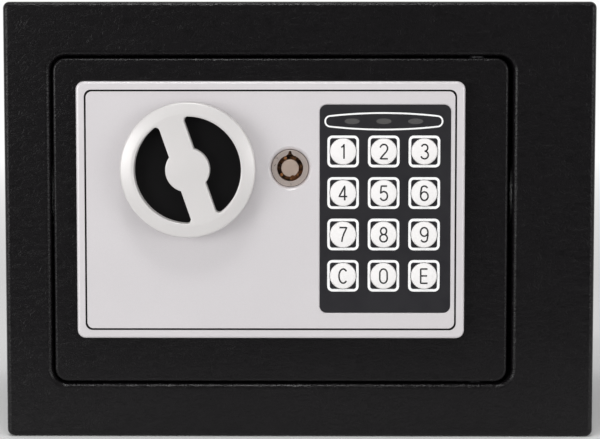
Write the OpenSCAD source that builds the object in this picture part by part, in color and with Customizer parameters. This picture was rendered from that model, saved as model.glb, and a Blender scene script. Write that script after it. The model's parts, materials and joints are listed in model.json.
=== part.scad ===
// Small electronic safe: sheet-steel case, flush door, keypad, turn knob, key override.
// Millimetres. Origin: centre of the base's underside. +X to the right as seen from the
// front, +Y from the front into the safe, +Z up. Rest pose: door shut, bolts drawn in.

/* [Case] */
// Width of the case
case_w = 230; // [224:1:300]
// Height of the case
case_h = 170; // [168:1:240]
// Depth of the case, without the panel and knob
case_d = 170; // [140:1:260]
// Sheet thickness of the wrap and back
case_sheet = 1.2; // [0.8:0.1:2]
// Outer corner radius of the case
case_corner = 2.5; // [2.4:0.1:4]
// How far the back panel is set in from the rear edge
back_inset = 2; // [1:0.5:8]
// Depth of the back panel's welded flange
back_flange = 10; // [6:0.5:20]
// Diameter of the four anchor holes
anchor_d = 10; // [6:0.5:14]
// Distance between two anchor holes
anchor_pitch = 120; // [60:1:160]
// Height of the back anchor holes above the base
anchor_z = 85; // [40:1:120]
// Thickness of the felt floor mat
mat_t = 2; // [1:0.5:4]
// Gap between the mat and the walls
mat_gap = 2; // [0.5:0.5:6]

/* [Front frame] */
// Sheet thickness of the front frame
frame_sheet = 1.5; // [1:0.1:1.8]
// Outer bend radius at the case's edge
frame_bend = 2; // [1.9:0.1:2.3]
// Depth of the frame's outer flange
frame_flange = 10; // [5:0.5:20]
// Width of the door opening
opening_w = 179.6; // [178:0.1:188]
// Height of the door opening
opening_h = 128; // [126:0.2:140]
// Sideways shift of the opening from the middle
opening_x = -6.9; // [-9:0.1:-5]
// Upward shift of the opening from the case's middle
opening_up = 0; // [-2:0.5:2]
// Corner radius of the opening
opening_corner = 5.75; // [4:0.25:9]
// Depth of the drawn lip round the opening
lip_d = 12; // [12:0.5:12.5]
// Outer bend radius of the lip
lip_bend = 2.2; // [1.9:0.1:3]

/* [Door] */
// Gap between door and lip at the left
gap_left = 0.8; // [0.6:0.1:2]
// Gap between door and lip at the hinge side
gap_right = 1.75; // [1.75:0.05:3]
// Gap between door and lip at the top
gap_top = 0.8; // [0.6:0.1:2]
// Gap between door and lip at the bottom
gap_bottom = 0.7; // [0.6:0.1:2]
// Thickness of the door plate
door_t = 3; // [2:0.5:4]
// Corner radius of the door plate
door_corner = 5; // [3:0.5:8]
// Rounding of the door plate's front edge
door_edge = 1.2; // [0.5:0.1:1.6]
// Inset of the pan at the bolt side
pan_left = 7.75; // [6:0.25:9]
// Inset of the pan at the hinge side
pan_right = 4.7; // [3:0.1:5]
// Inset of the pan at top and bottom
pan_ends = 6; // [5:0.5:6.5]
// Depth of the pan
pan_d = 36; // [36:1:44]
// Sheet thickness of the pan
pan_sheet = 1.2; // [0.8:0.1:1.5]
// Width of the pan's rear flange
pan_flange = 9; // [8:0.5:12]
// Thickness of the back cover
cover_t = 1.5; // [1:0.1:2.5]

/* [Hinge] */
// Hinge axis to the door's right edge
hinge_in = 12; // [11.5:0.1:12]
// Hinge axis behind the front face
hinge_back = 7; // [6.6:0.1:7]
// Hinge pin diameter
hinge_pin_d = 6; // [4:0.2:6]
// Length of a pin beyond the lip
hinge_reach = 3.5; // [2:0.5:4]
// Thickness of a hinge bracket
bracket_t = 5; // [4:0.5:8]

/* [Front panel] */
// Width of the silver panel
panel_w = 150.4; // [146:0.2:153]
// Height of the silver panel
panel_h = 99.8; // [98:0.2:105]
// Sideways shift of the panel from the door's middle
panel_over = -3.825; // [-5:0.025:-3]
// Upward shift of the panel from the door's middle
panel_up = 4.45; // [3:0.05:6]
// How far the panel stands off the door
panel_t = 5; // [5:0.1:5.2]
// Corner radius of the panel
panel_corner = 3.2; // [2:0.1:6]
// Rounding of the panel's front edge
panel_edge = 1.2; // [0.4:0.1:1.5]
// Wall thickness of the panel moulding
panel_wall = 2; // [1.6:0.1:2]
// Width of the raised rim, outside the groove
rim_w = 3.2; // [2:0.1:5]
// Width of the dark line groove
groove_w = 0.7; // [0.4:0.1:1]
// Depth of the groove below the panel's face
groove_d = 0.5; // [0.2:0.1:0.8]
// Height of the rim above the panel's face
rim_step = 0.3; // [0:0.1:0.4]

/* [Keypad] */
// Width of the keypad overlay
pad_w = 50.6; // [49:0.1:53]
// Height of the keypad overlay
pad_h = 80.8; // [78:0.1:84]
// Sideways shift of the overlay from the panel's middle
pad_over = 44.4; // [43:0.1:45.5]
// Upward shift of the overlay from the panel's middle
pad_up = 0.5; // [-1:0.1:1]
// Corner radius of the overlay
pad_corner = 2.7; // [1:0.1:5]
// Thickness of the overlay
pad_t = 0.5; // [0.3:0.1:0.6]
// How far the overlay lies below the panel's face
pad_sink = 0.25; // [0.1:0.05:0.3]
// Key pitch across
key_pitch_x = 15.7; // [14.5:0.05:16.2]
// Key pitch down
key_pitch_z = 16.1; // [14.5:0.1:16.5]
// Shift of the key field across, from the overlay's middle
key_shift_x = -0.6; // [-1.5:0.1:1]
// Shift of the key field up, from the overlay's middle
key_shift_z = -1.8; // [-2.5:0.1:-1]
// Diameter of a key cap
key_d = 10.1; // [9:0.1:11]
// How far a key's edge stands out of the overlay
key_out = 0.8; // [0.65:0.05:1.5]
// Crown of a key's face
key_crown = 0.5; // [0.2:0.1:1]
// Key travel
key_travel = 0.6; // [0.3:0.05:0.65]
// Length of an indicator lens
lens_w = 6; // [4:0.1:8]
// Height of an indicator lens
lens_h = 2.3; // [1.5:0.1:3]
// Pitch of the three indicators
lens_pitch = 12.25; // [10:0.05:14]
// Height of the indicators above the overlay's middle
lens_up = 34; // [32:0.1:35]

/* [Knob] */
// Outer diameter of the knob
knob_d = 52; // [46:0.5:56]
// Sideways shift of the knob from the panel's middle
knob_over = -31.6; // [-33:0.1:-31]
// Upward shift of the knob from the panel's middle
knob_up = 16.1; // [14:0.1:16.5]
// Height of the knob
knob_h = 9; // [8:0.5:10]
// Outer radius of the finger pockets
pocket_r = 20.5; // [18:0.1:22]
// Depth of the finger pockets
pocket_d = 6.5; // [4.5:0.1:7]
// Corner radius of the finger pockets
pocket_corner = 1.5; // [0.5:0.1:2]
// Radius of the hub between the pockets
hub_r = 8.5; // [7.5:0.1:10]
// Width of the cross bar
bar_w = 10; // [8:0.5:12]
// Tilt of the bar from upright, top to the left
bar_tilt = 19.2; // [0:0.2:45]
// Rounding of the knob's front edge
knob_edge = 1; // [0.5:0.1:1.6]
// How far the knob's ring falls away to its edge
knob_fall = 1.1; // [0.4:0.1:1.5]
// Gap between knob and panel face
knob_gap = 0.5; // [0.3:0.1:1]
// Spindle diameter
spindle_d = 8; // [6:0.1:9]

/* [Lock] */
// Sideways shift of the key lock from the panel's middle
lock_over = 7.6; // [7.3:0.1:8.4]
// Upward shift of the key lock from the panel's middle
lock_up = 16.4; // [15:0.1:17]
// Diameter of the lock housing
lock_d = 14.2; // [13:0.1:15]
// Diameter of the ring-shaped keyway
keyway_d = 10.1; // [9:0.1:10.4]
// Diameter of the keyway's centre post
post_d = 6.8; // [5.5:0.1:7.2]
// Depth of the keyway
keyway_depth = 4.4; // [3:0.1:6]
// How far the lock stands out of the panel's face
lock_out = 0.2; // [0.2:0.1:1.5]
// Length of the lock cam's arm
cam_r = 16; // [16:0.1:16.5]

/* [Bolt work] */
// Diameter of a bolt
bolt_d = 14; // [10:0.5:15]
// Distance between the two bolts
bolt_pitch = 70; // [62:1:74]
// How far a bolt's tip stands out of the pan when drawn in
bolt_tip_out = 1.5; // [0.5:0.1:2]
// Radius of the crank pin's circle
crank_r = 11; // [10:0.1:11]
// Diameter of the crank pin
crank_pin_d = 5; // [4:0.1:5]
// Thickness of the bolt plate
bolt_plate_t = 2; // [1.5:0.1:2]
// Diameter of the solenoid's plunger nose
nose_d = 6; // [4:0.1:7]
// Travel of the solenoid's plunger
plunger_travel = 5; // [4:0.1:5]

/* [Power and boards] */
// Diameter of a battery
cell_d = 14.2; // [13.5:0.1:14.5]
// Length of a battery
cell_l = 50.5; // [49:0.1:51]
// Thickness of a circuit board
board_t = 1; // [0.8:0.1:1.1]
// Diameter of the reset button
reset_d = 9; // [6:0.5:12]
// Travel of the reset button
reset_travel = 1.2; // [0.5:0.1:1.5]

/* [Clearances] */
// Radial clearance of a running fit
fit_run = 0.05; // [0.02:0.01:0.1]
// Clearance round a sliding or loose piece, on each side
fit_loose = 0.2; // [0.1:0.05:0.3]
// Clearance of the crank pin in its slot, on each side
fit_slot = 0.5; // [0.4:0.05:0.7]

/* [Hidden] */
KEYS = ["key_1", "key_2", "key_3", "key_4", "key_5", "key_6", "key_7", "key_8", "key_9",
    "key_clear", "key_0", "key_enter"];
$fn = 64;

// Case
front_y = -case_d / 2;
opening_z = case_h / 2 + opening_up;
back_y = case_d / 2;
inner_w = case_w - 2 * case_sheet;
inner_h = case_h - 2 * case_sheet;
least_corner = 0.2;
inner_corner = max(case_corner - case_sheet, least_corner);
back_front_y = back_y - back_inset - case_sheet;
mat_front_y = front_y + lip_d + mat_gap;
mat_corner = 4;
mat_hole_gap = 2;

// Door and pan
door_left = opening_x - opening_w / 2 + gap_left;
door_right = opening_x + opening_w / 2 - gap_right;
door_bottom = opening_z - opening_h / 2 + gap_bottom;
door_top = opening_z + opening_h / 2 - gap_top;
door_w = door_right - door_left;
door_h = door_top - door_bottom;
door_x = (door_left + door_right) / 2;
door_z = (door_bottom + door_top) / 2;
plate_back_y = front_y + door_t;
pan_w = door_w - pan_left - pan_right;
pan_h = door_h - 2 * pan_ends;
pan_x = door_x + (pan_left - pan_right) / 2;
pan_corner = 2;
pan_back_y = plate_back_y + pan_d;
pan_left_x = pan_x - pan_w / 2;
pan_right_x = pan_x + pan_w / 2;
pan_bottom_z = door_z - pan_h / 2;
pan_top_z = door_z + pan_h / 2;
cover_back_y = pan_back_y + cover_t;
cover_margin = 0.5;
screw_r = 1.5;
screw_head_r = 3.2;
screw_head_t = 2;
screw_slot_w = 0.8;
screw_slot_d = 0.9;
screw_gap = 0.5;
screw_bite = 1.6;
cover_screw_in = pan_flange / 2;

// Hinge
hinge_x = door_right - hinge_in;
hinge_y = front_y + hinge_back;
hinge_pin_r = hinge_pin_d / 2;
lip_hole_r = hinge_pin_r + fit_slot;
lip_top = opening_z + opening_h / 2 + frame_sheet;
lip_bottom = opening_z - opening_h / 2 - frame_sheet;
bracket_w = 18;
block_w = 14;
block_d = 8;
block_gap = 0.6;
pin_head_gap = 0.1;
pin_head_r = hinge_back - door_t - pin_head_gap;
pin_head_t = 2;

// Front panel, from the rim's top back to the door plate
panel_front_y = front_y - panel_t;
face_y = panel_front_y + rim_step;
panel_back_y = panel_front_y + panel_wall;
pad_front_y = face_y + pad_sink;
pad_floor_y = pad_front_y + pad_t;
panel_x = door_x + panel_over;
panel_z = door_z + panel_up;
pad_x = panel_x + pad_over;
pad_z = panel_z + pad_up;
knob_x = panel_x + knob_over;
knob_z = panel_z + knob_up;
lock_x = panel_x + lock_over;
lock_z = panel_z + lock_up;
boss_r = 3;
boss_skin = 0.6;
inside_w = panel_w - 2 * rim_w;
inside_h = panel_h - 2 * rim_w;
groove_corner = max(panel_corner - 0.5, 0.8);
pad_bevel = 0.3;
lock_dish_w = 1.2;
lock_dish_d = 0.9;

// Panel screws: inside the panel's walls, and clear of the pan and the hinge blocks behind
panel_screw_in = 5.6;
pan_screw_in = pan_sheet + screw_head_r + screw_gap;
screw_left_x = max(panel_x - panel_w / 2 + panel_screw_in, pan_left_x + pan_screw_in);
screw_right_x = min(panel_x + panel_w / 2 - panel_screw_in,
    hinge_x - block_w / 2 - screw_head_r - screw_gap);
screw_bottom_z = max(panel_z - panel_h / 2 + panel_screw_in, pan_bottom_z + pan_screw_in);
screw_top_z = min(panel_z + panel_h / 2 - panel_screw_in, pan_top_z - pan_screw_in);

// Keypad
board_gap = 0.2;
board_back_y = front_y - board_gap;
board_front_y = board_back_y - board_t;
board_in = 2;
board_in_z = 3;
board_w = pad_w - 2 * board_in;
board_h = pad_h - 2 * board_in_z;
board_boss_r = 1.5;
board_boss_in = 1.6;
dome_t = 0.4;
dome_r = 4;
key_x = pad_x + key_shift_x;
key_z = pad_z + key_shift_z;
key_r = key_d / 2;
key_seat_gap = 0.05;
key_flange_w = 0.75;
key_flange_r = key_r + key_flange_w;
key_back_y = board_front_y - dome_t - key_travel - fit_loose;
key_edge_y = pad_front_y - key_out;
key_round = 0.4;
lens_z = pad_z + lens_up;
led_w = 2.8;
led_d = 1.4;
led_h = 1;

// Knob and spindle
knob_r = knob_d / 2;
knob_lip = 0.9;
knob_rim_r = knob_r - knob_edge;
knob_face_r = min(pocket_r + knob_lip, knob_rim_r - knob_lip);
knob_back_y = face_y - knob_gap;
knob_front_y = knob_back_y - knob_h;
pocket_floor_y = knob_front_y + pocket_d;
insert_t = 2;
insert_lap = 3.2;
insert_r = pocket_r + insert_lap;
hub_face_t = 3.2;
hub_bore_y = knob_front_y + hub_face_t;
boss_hub_r = 6.8;
spindle_r = spindle_d / 2;
spindle_bush_wall = 2;
bush_r = spindle_r + spindle_bush_wall;
bush_flange_w = 3;
bush_flange_r = bush_r + bush_flange_w;
bush_flange_t = 2.5;
bush_reach = 5;
bush_back_y = plate_back_y + bush_reach;
bush_gap = 0.2;
clip_t = 0.8;
clip_gap = 0.1;
clip_groove = 0.5;
clip_w = 2.5;
clip_mouth = 1;
clip_r = spindle_r + clip_w;
crank_front_y = bush_back_y + clip_t + 2 * clip_gap;
crank_t = 3;
crank_back_y = crank_front_y + crank_t;
crank_wall = 3;
crank_hub_r = spindle_r + crank_wall;
crank_end_wall = 2;
crank_end_r = crank_pin_d / 2 + crank_end_wall;
crank_throw = 45;

// Bolt plate: the crank pin runs from one side of the top of its circle to the other
throw = 2 * crank_r * sin(crank_throw);
pin_offset = crank_r * sin(crank_throw);
crank_gap = 2;
pin_over = 2;
plate_front_y = crank_back_y + crank_gap;
bolt_plate_back_y = plate_front_y + bolt_plate_t;
slot_x = knob_x + pin_offset;
slot_r = crank_pin_d / 2 + fit_slot;
slot_low = knob_z + crank_r * cos(crank_throw) - slot_r;
slot_high = knob_z + crank_r + slot_r;
bolt_r = bolt_d / 2;
bolt_lead = 1;
bolt_y = plate_front_y - bolt_lead + bolt_r;
bolt_low_z = door_z - bolt_pitch / 2;
bolt_high_z = door_z + bolt_pitch / 2;
bolt_tip_x = pan_left_x - bolt_tip_out;
bush_wall = 2;
bolt_bush_r = bolt_r + fit_loose / 2 + bush_wall;
bolt_bush_flange = 1.5;
bolt_bush_flange_w = 1.6;
bolt_stop_gap = 0.6;
bolt_seat_x = pan_left_x + pan_sheet + bolt_bush_flange + throw + bolt_stop_gap;
shank_step = 4;
shank_r = bolt_r - shank_step;
rivet_t = 1.5;
rivet_w = 1.5;
rivet_gap = 0.1;
rivet_r = min(shank_r + rivet_w, bolt_y - bolt_plate_back_y - rivet_gap);
bolt_chamfer = 1.5;
plate_margin = 9;
plate_edge = 2;
plate_right_x = slot_x + slot_r + plate_edge;
arm_gap = 4.8;
arm_top_z = lock_z - lock_d / 2 - arm_gap;
arm_h = 13;
arm_edge = 2.5;
post_r = 3;
post_collar_w = 1.75;
post_collar_r = post_r + post_collar_w;
post_in = 10;
post_x = bolt_seat_x + post_in;
post_gap = 0.3;
post_head_t = 1.6;
post_up = 13;
post_low_z = bolt_low_z + post_up;
post_drop = 18;
post_high_z = knob_z - post_drop;

// Key lock and solenoid
lock_r = lock_d / 2;
lock_front_y = face_y - lock_out;
lock_reach = 14;
lock_back_y = plate_back_y + lock_reach;
nut_over = 4.8;
nut_af = lock_d + nut_over;
nut_t = 3;
core_r = keyway_d / 2 - fit_run;
core_reach = 1.5;
core_back_y = lock_back_y + core_reach;
core_sink = 0.2;
core_notch_w = 1.2;
core_notch_d = 0.5;
core_notch_up = 1;
keyway_floor_y = lock_front_y + keyway_depth;
lock_edge = 0.3;
key_notch_w = 3.6;
key_notch_tip = 0.7;
key_notch_h = 0.8 * (lock_r - keyway_d / 2);
key_notch_low = 0.6;
key_notch_d = 3;
tumbler_r = 0.6;
tumbler_out = 3;
tumbler_count = 7;
tail_r = 3;
tail_out = 1;
cam_t = 2.5;
cam_gap = 0.3;
cam_front_y = core_back_y + cam_gap;
cam_half = 4;
cam_hub_r = 6;
plunger_x = lock_x - cam_r;
plunger_y = plate_front_y + bolt_plate_t / 2;
nose_r = nose_d / 2;
nose_gap = 0.4;
nose_z = arm_top_z + nose_gap;
notch_gap = 0.6;
notch_half = nose_r + notch_gap;
notch_d = plunger_travel + fit_loose;
collar_z = lock_z + cam_half + cam_gap;
collar_r = cam_front_y + cam_t - plunger_y - fit_loose;
collar_t = 2;
stem_r = 4;
stem_in = 6;
coil_r = 8.5;
coil_flange_t = 1.2;
coil_wound_r = coil_r - 1;
coil_frame_t = 1.5;
spring_h = 4.8;
coil_frame_z = collar_z + collar_t + spring_h;
coil_frame_w = 2 * coil_r + 3;
coil_frame_in = 1;
coil_h = 14;
coil_frame_top = coil_frame_z + coil_h + 2 * coil_frame_t;
spring_wire_r = 0.4;
spring_gap = 0.5;
spring_r = stem_r + spring_gap + spring_wire_r;
spring_turns = 4;

// Main board: under the pan's top, beside the hinge pin's head
main_board_w = 50;
main_board_h = 34;
main_board_gap = 0.8;
main_board_drop = 8.9;
main_right_x = hinge_x - pin_head_r - main_board_gap;
main_left_x = main_right_x - main_board_w;
main_top_z = pan_top_z - pan_sheet - main_board_drop;
main_board_x = (main_left_x + main_right_x) / 2;
main_board_z = main_top_z - main_board_h / 2;
standoff_h = 6;
main_front_y = plate_back_y + standoff_h;
main_back_y = main_front_y + board_t;
standoff_r = 2.5;
standoff_in = 3.5;
buzzer_r = 5.5;
buzzer_h = 7;
buzzer_hole_r = 0.8;
buzzer_hole_d = 2;
buzzer_x = main_right_x - buzzer_r - 2;
buzzer_z = main_board_z - 9;
chip_w = 11;
chip_t = 2;
chip_x = main_left_x + 11.5;
chip_z = main_board_z - 5;
reset_x = main_right_x - 14.5;
reset_z = main_board_z + 5;
reset_out = 1.5;
reset_r = reset_d / 2;
reset_stem_r = 2;
reset_stem_gap = 0.5;
reset_flange_w = 1.5;
reset_flange_t = 1;
reset_dish_t = 0.3;
reset_rim = 1.2;
switch_w = 6;
switch_h = 4.5;
ribbon_x = pad_x;
ribbon_up = 31;
ribbon_z = pad_z + ribbon_up;
ribbon_w = 14;
ribbon_t = 0.8;
ribbon_room = 4;
lead_r = 1.2;
socket_w = 7;
socket_h = 7;
socket_t = 5;
socket_x = main_left_x + 2.5;
lead_y = main_back_y + lead_r;
lead_z = coil_frame_z + coil_frame_t + coil_h / 2;

// Battery tray: inside the pan's rear flange
cell_r = cell_d / 2;
cell_gap = 0.8;
cell_pitch = cell_d + cell_gap;
cell_count = 4;
cell_nub = 1;
cell_nub_r = 2.75;
contact_room = 4.2;
contact_w = 10;
contact_t = 0.5;
contact_r = 1.6;
tray_wall = 1.2;
tray_gap_x = 1.35;
tray_gap_z = 0.9;
tray_w = cell_l + 2 * contact_room + 2 * tray_wall;
tray_h = cell_count * cell_pitch + 2 * tray_wall;
tray_x = pan_right_x - pan_flange - tray_gap_x - tray_w / 2;
tray_z = pan_bottom_z + pan_flange + tray_gap_z + tray_h / 2;
cell_seat_gap = 0.1;
tray_room = 0.8;
tray_d = tray_wall + cell_seat_gap + cell_d + tray_room;
tray_front_y = pan_back_y - tray_d;
cell_y = tray_front_y + tray_wall + cell_seat_gap + cell_r;
lid_w = tray_w - 2 * tray_wall;
lid_h = tray_h - 2 * tray_wall;
grip_w = 14;
grip_t = 0.8;
grip_d = 0.5;
grip_pitch = 2;
grip_in = 11.2;
battery_lead_x = main_left_x + 6.5;
battery_lead_out = 5;

// ---- Shared shapes -------------------------------------------------------------------

// Rounded rectangle about the origin
module rounded_rect(w, h, r) {
    square([w - 2 * r, h], center = true);
    square([w, h - 2 * r], center = true);
    for (sx = [-1, 1], sy = [-1, 1])
        translate([sx * (w / 2 - r), sy * (h / 2 - r)])
            circle(r);
}

// Slot shape: a bar with round ends
module stadium(w, h) {
    square([w - h, h], center = true);
    for (s = [-1, 1])
        translate([s * (w - h) / 2, 0])
            circle(h / 2);
}

// Sweeps a profile round a rounded rectangle: profile x = 0 on the outline and positive
// outwards, profile y = height
module outline_sweep(w, h, r) {
    for (turn = [0, 90]) {
        run = turn == 0 ? h : w;
        reach = turn == 0 ? w : h;
        for (side = [0, 180])
            rotate([0, 0, turn + side])
                translate([reach / 2, run / 2 - r, 0])
                    rotate([90, 0, 0])
                        linear_extrude(run - 2 * r)
                            children();
    }
    for (sx = [0, 1], sy = [0, 1])
        mirror([sx, 0, 0])
            mirror([0, sy, 0])
                translate([w / 2 - r, h / 2 - r, 0])
                    rotate_extrude(angle = 90)
                        translate([r, 0])
                            children();
}

// Section of sheet bent through a quarter turn, from a flat face into a wall: corner at the
// origin, wall up along y, sheet on the +x side
module bent_sheet(sheet, bend, depth) {
    translate([0, bend])
        square([sheet, depth - bend]);
    intersection() {
        translate([bend, bend])
            difference() {
                circle(bend);
                circle(bend - sheet);
            }
        square([bend, bend]);
    }
}

// Slab with rounded corners and one rounded edge, at height 0
module soft_slab(w, h, t, corner, edge) {
    linear_extrude(t)
        rounded_rect(w - 2 * edge, h - 2 * edge, corner - edge);
    outline_sweep(w, h, corner)
        translate([-edge, 0]) {
            translate([0, edge])
                square([edge, t - edge]);
            intersection() {
                translate([0, edge])
                    circle(edge);
                square([edge, edge]);
            }
        }
}

// Turns a shape drawn flat to face the front: x to the right, y up, height into the safe
module facing(x, z, y)
    translate([x, y, z])
        mirror([0, 1, 0])
            rotate([90, 0, 0])
                children();

// Flat shape facing the front, from one depth to another
module sheet_y(x, z, y0, y1)
    facing(x, z, y0)
        linear_extrude(y1 - y0)
            children();

// Round bar along Y
module rod_y(x, z, y0, y1, r)
    facing(x, z, y0)
        cylinder(h = y1 - y0, r = r);

// Round bar along X
module rod_x(y, z, x0, x1, r)
    translate([x0, y, z])
        rotate([0, 90, 0])
            cylinder(h = x1 - x0, r = r);

// Round bar along Z
module rod_z(x, y, z0, z1, r)
    translate([x, y, z0])
        cylinder(h = z1 - z0, r = r);

// Box from its low corner to its high corner
module box(low, high)
    translate(low)
        cube(high - low);

module at_corners(x, z, dx, dz)
    for (sx = [-1, 1], sz = [-1, 1])
        translate([x + sx * dx, 0, z + sz * dz])
            children();

// ---- Case ----------------------------------------------------------------------------

module front_frame() color("#1c1b1d") {
    difference() {
        facing(0, case_h / 2, front_y) {
            linear_extrude(frame_sheet)
                difference() {
                    rounded_rect(case_w - 2 * frame_bend, case_h - 2 * frame_bend,
                        case_corner - frame_bend);
                    translate([opening_x, opening_up])
                        rounded_rect(opening_w + 2 * lip_bend, opening_h + 2 * lip_bend,
                            opening_corner + lip_bend);
                }
            outline_sweep(case_w, case_h, case_corner)
                mirror([1, 0])
                    bent_sheet(frame_sheet, frame_bend, frame_flange);
            translate([opening_x, opening_up, 0])
                outline_sweep(opening_w, opening_h, opening_corner)
                    bent_sheet(frame_sheet, lip_bend, lip_d);
        }
        rod_z(hinge_x, hinge_y, lip_bottom - 1, lip_top + 1, lip_hole_r);
    }
}

module anchor_holes_2d()
    for (s = [-1, 1])
        translate([s * anchor_pitch / 2, 0])
            circle(anchor_d / 2);

module body_wrap() color("#1c1b1d") {
    difference() {
        sheet_y(0, case_h / 2, front_y + frame_flange, back_y)
            difference() {
                rounded_rect(case_w, case_h, case_corner);
                rounded_rect(inner_w, inner_h, inner_corner);
            }
        translate([0, 0, -1])
            linear_extrude(case_sheet + 2)
                anchor_holes_2d();
    }
}

module back_panel() color("#1c1b1d") {
    sheet_y(0, case_h / 2, back_front_y, back_front_y + case_sheet)
        difference() {
            rounded_rect(inner_w, inner_h, inner_corner);
            translate([0, anchor_z - case_h / 2])
                anchor_holes_2d();
        }
    sheet_y(0, case_h / 2, back_front_y + case_sheet - back_flange, back_front_y)
        difference() {
            rounded_rect(inner_w, inner_h, inner_corner);
            square([inner_w - 2 * case_sheet, inner_h - 2 * case_sheet], center = true);
        }
}

// Drilled block welded behind the front frame, on the lip
module hinge_bracket(low, high)
    difference() {
        box([hinge_x - bracket_w / 2, front_y + lip_bend, low],
            [hinge_x + bracket_w / 2, front_y + lip_d, high]);
        rod_z(hinge_x, hinge_y, low - 1, high + 1, hinge_pin_r + fit_run);
    }

module hinge_bracket_upper() color("#3a3a3d")
    hinge_bracket(lip_top, lip_top + bracket_t);

module hinge_bracket_lower() color("#3a3a3d")
    hinge_bracket(lip_bottom - bracket_t, lip_bottom);

module floor_mat() color("#3b3d42") {
    depth = back_front_y + case_sheet - back_flange - mat_gap - mat_front_y;
    translate([0, mat_front_y + depth / 2, case_sheet])
        linear_extrude(mat_t)
            difference() {
                rounded_rect(inner_w - 2 * mat_gap, depth, mat_corner);
                translate([0, -mat_front_y - depth / 2])
                    for (s = [-1, 1])
                        translate([s * anchor_pitch / 2, 0])
                            circle(anchor_d / 2 + mat_hole_gap);
            }
}

// ---- Door shell ----------------------------------------------------------------------

module panel_screw_places()
    for (x = [screw_left_x, screw_right_x], z = [screw_bottom_z, screw_top_z])
        translate([x, 0, z])
            children();

module cover_screw_places()
    at_corners(pan_x, door_z, pan_w / 2 - cover_screw_in, pan_h / 2 - cover_screw_in)
        children();

module door_plate() color("#1c1b1d") {
    y0 = front_y - 1;
    y1 = plate_back_y + 1;
    difference() {
        facing(door_x, door_z, front_y)
            soft_slab(door_w, door_h, door_t, door_corner, door_edge);
        rod_y(knob_x, knob_z, y0, y1, bush_r);
        rod_y(lock_x, lock_z, y0, y1, lock_r + fit_loose);
        sheet_y(ribbon_x, ribbon_z, y0, y1)
            stadium(ribbon_w + ribbon_room, ribbon_room);
        panel_screw_places()
            rod_y(0, 0, y0, y1, screw_r + fit_loose / 2);
    }
}

module door_pan() color("#2a2a2d") {
    difference() {
        union() {
            sheet_y(pan_x, door_z, plate_back_y, pan_back_y)
                difference() {
                    rounded_rect(pan_w, pan_h, pan_corner);
                    square([pan_w - 2 * pan_sheet, pan_h - 2 * pan_sheet], center = true);
                }
            sheet_y(pan_x, door_z, pan_back_y - pan_sheet, pan_back_y)
                difference() {
                    rounded_rect(pan_w, pan_h, pan_corner);
                    square([pan_w - 2 * pan_flange, pan_h - 2 * pan_flange], center = true);
                }
        }
        for (z = [bolt_low_z, bolt_high_z])
            rod_x(bolt_y, z, pan_left_x - 1, pan_left_x + pan_sheet + 1, bolt_bush_r);
        rod_z(hinge_x, hinge_y, door_bottom, door_top, hinge_pin_r);
        cover_screw_places()
            rod_y(0, 0, pan_back_y - pan_sheet - 1, pan_back_y + 1, screw_r);
    }
}

module back_cover() color("#26262a") {
    sheet_y(pan_x, door_z, pan_back_y, cover_back_y)
        difference() {
            rounded_rect(pan_w - 2 * cover_margin, pan_h - 2 * cover_margin, pan_corner);
            translate([tray_x - pan_x, tray_z - door_z])
                square([lid_w, lid_h], center = true);
            translate([reset_x - pan_x, reset_z - door_z])
                circle(reset_r + fit_loose);
            for (sx = [-1, 1], sz = [-1, 1])
                translate([sx * (pan_w / 2 - cover_screw_in), sz * (pan_h / 2 - cover_screw_in)])
                    circle(screw_r + fit_loose / 2);
        }
}

// Pan-head screw along Y, its head seated at the given depth and pointing backwards
module pan_screw(seat_y, reach) {
    head_y = seat_y + screw_head_t;
    half = screw_slot_w / 2;
    arm = screw_head_r - 1.2;
    rod_y(0, 0, seat_y - reach, seat_y, screw_r);
    difference() {
        rod_y(0, 0, seat_y, head_y, screw_head_r);
        box([-arm, head_y - screw_slot_d, -half], [arm, head_y + 1, half]);
        box([-half, head_y - screw_slot_d, -arm], [half, head_y + 1, arm]);
    }
}

module cover_screws() color("#b9bbc0")
    cover_screw_places()
        pan_screw(cover_back_y, cover_t + pan_sheet + screw_bite);

module hinge_blocks() color("#3a3a3d") {
    for (up = [0, 1]) {
        low = up == 1 ? door_top - pan_ends : door_bottom + block_gap;
        high = up == 1 ? door_top - block_gap : door_bottom + pan_ends;
        difference() {
            box([hinge_x - block_w / 2, plate_back_y, low],
                [hinge_x + block_w / 2, plate_back_y + block_d, high]);
            rod_z(hinge_x, hinge_y, low - 1, high + 1, hinge_pin_r);
        }
    }
}

module hinge_pins() color("#3a3a3d") {
    head_top = door_top - pan_ends - pan_sheet;
    head_bottom = door_bottom + pan_ends + pan_sheet;
    rod_z(hinge_x, hinge_y, head_top, lip_top + hinge_reach, hinge_pin_r);
    rod_z(hinge_x, hinge_y, head_top - pin_head_t, head_top, pin_head_r);
    rod_z(hinge_x, hinge_y, lip_bottom - hinge_reach, head_bottom, hinge_pin_r);
    rod_z(hinge_x, hinge_y, head_bottom, head_bottom + pin_head_t, pin_head_r);
}

// ---- Front panel and keypad ----------------------------------------------------------

// Calls its children at every key's place, in x and z
module key_places()
    for (i = [0:len(KEYS) - 1])
        translate([key_place(i)[0], 0, key_place(i)[1]])
            children();

function key_place(i) = [key_x + (i % 3 - 1) * key_pitch_x,
    key_z + (1.5 - floor(i / 3)) * key_pitch_z];

module lens_places()
    for (i = [-1:1])
        translate([key_x + i * lens_pitch, 0, lens_z])
            children();

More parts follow.
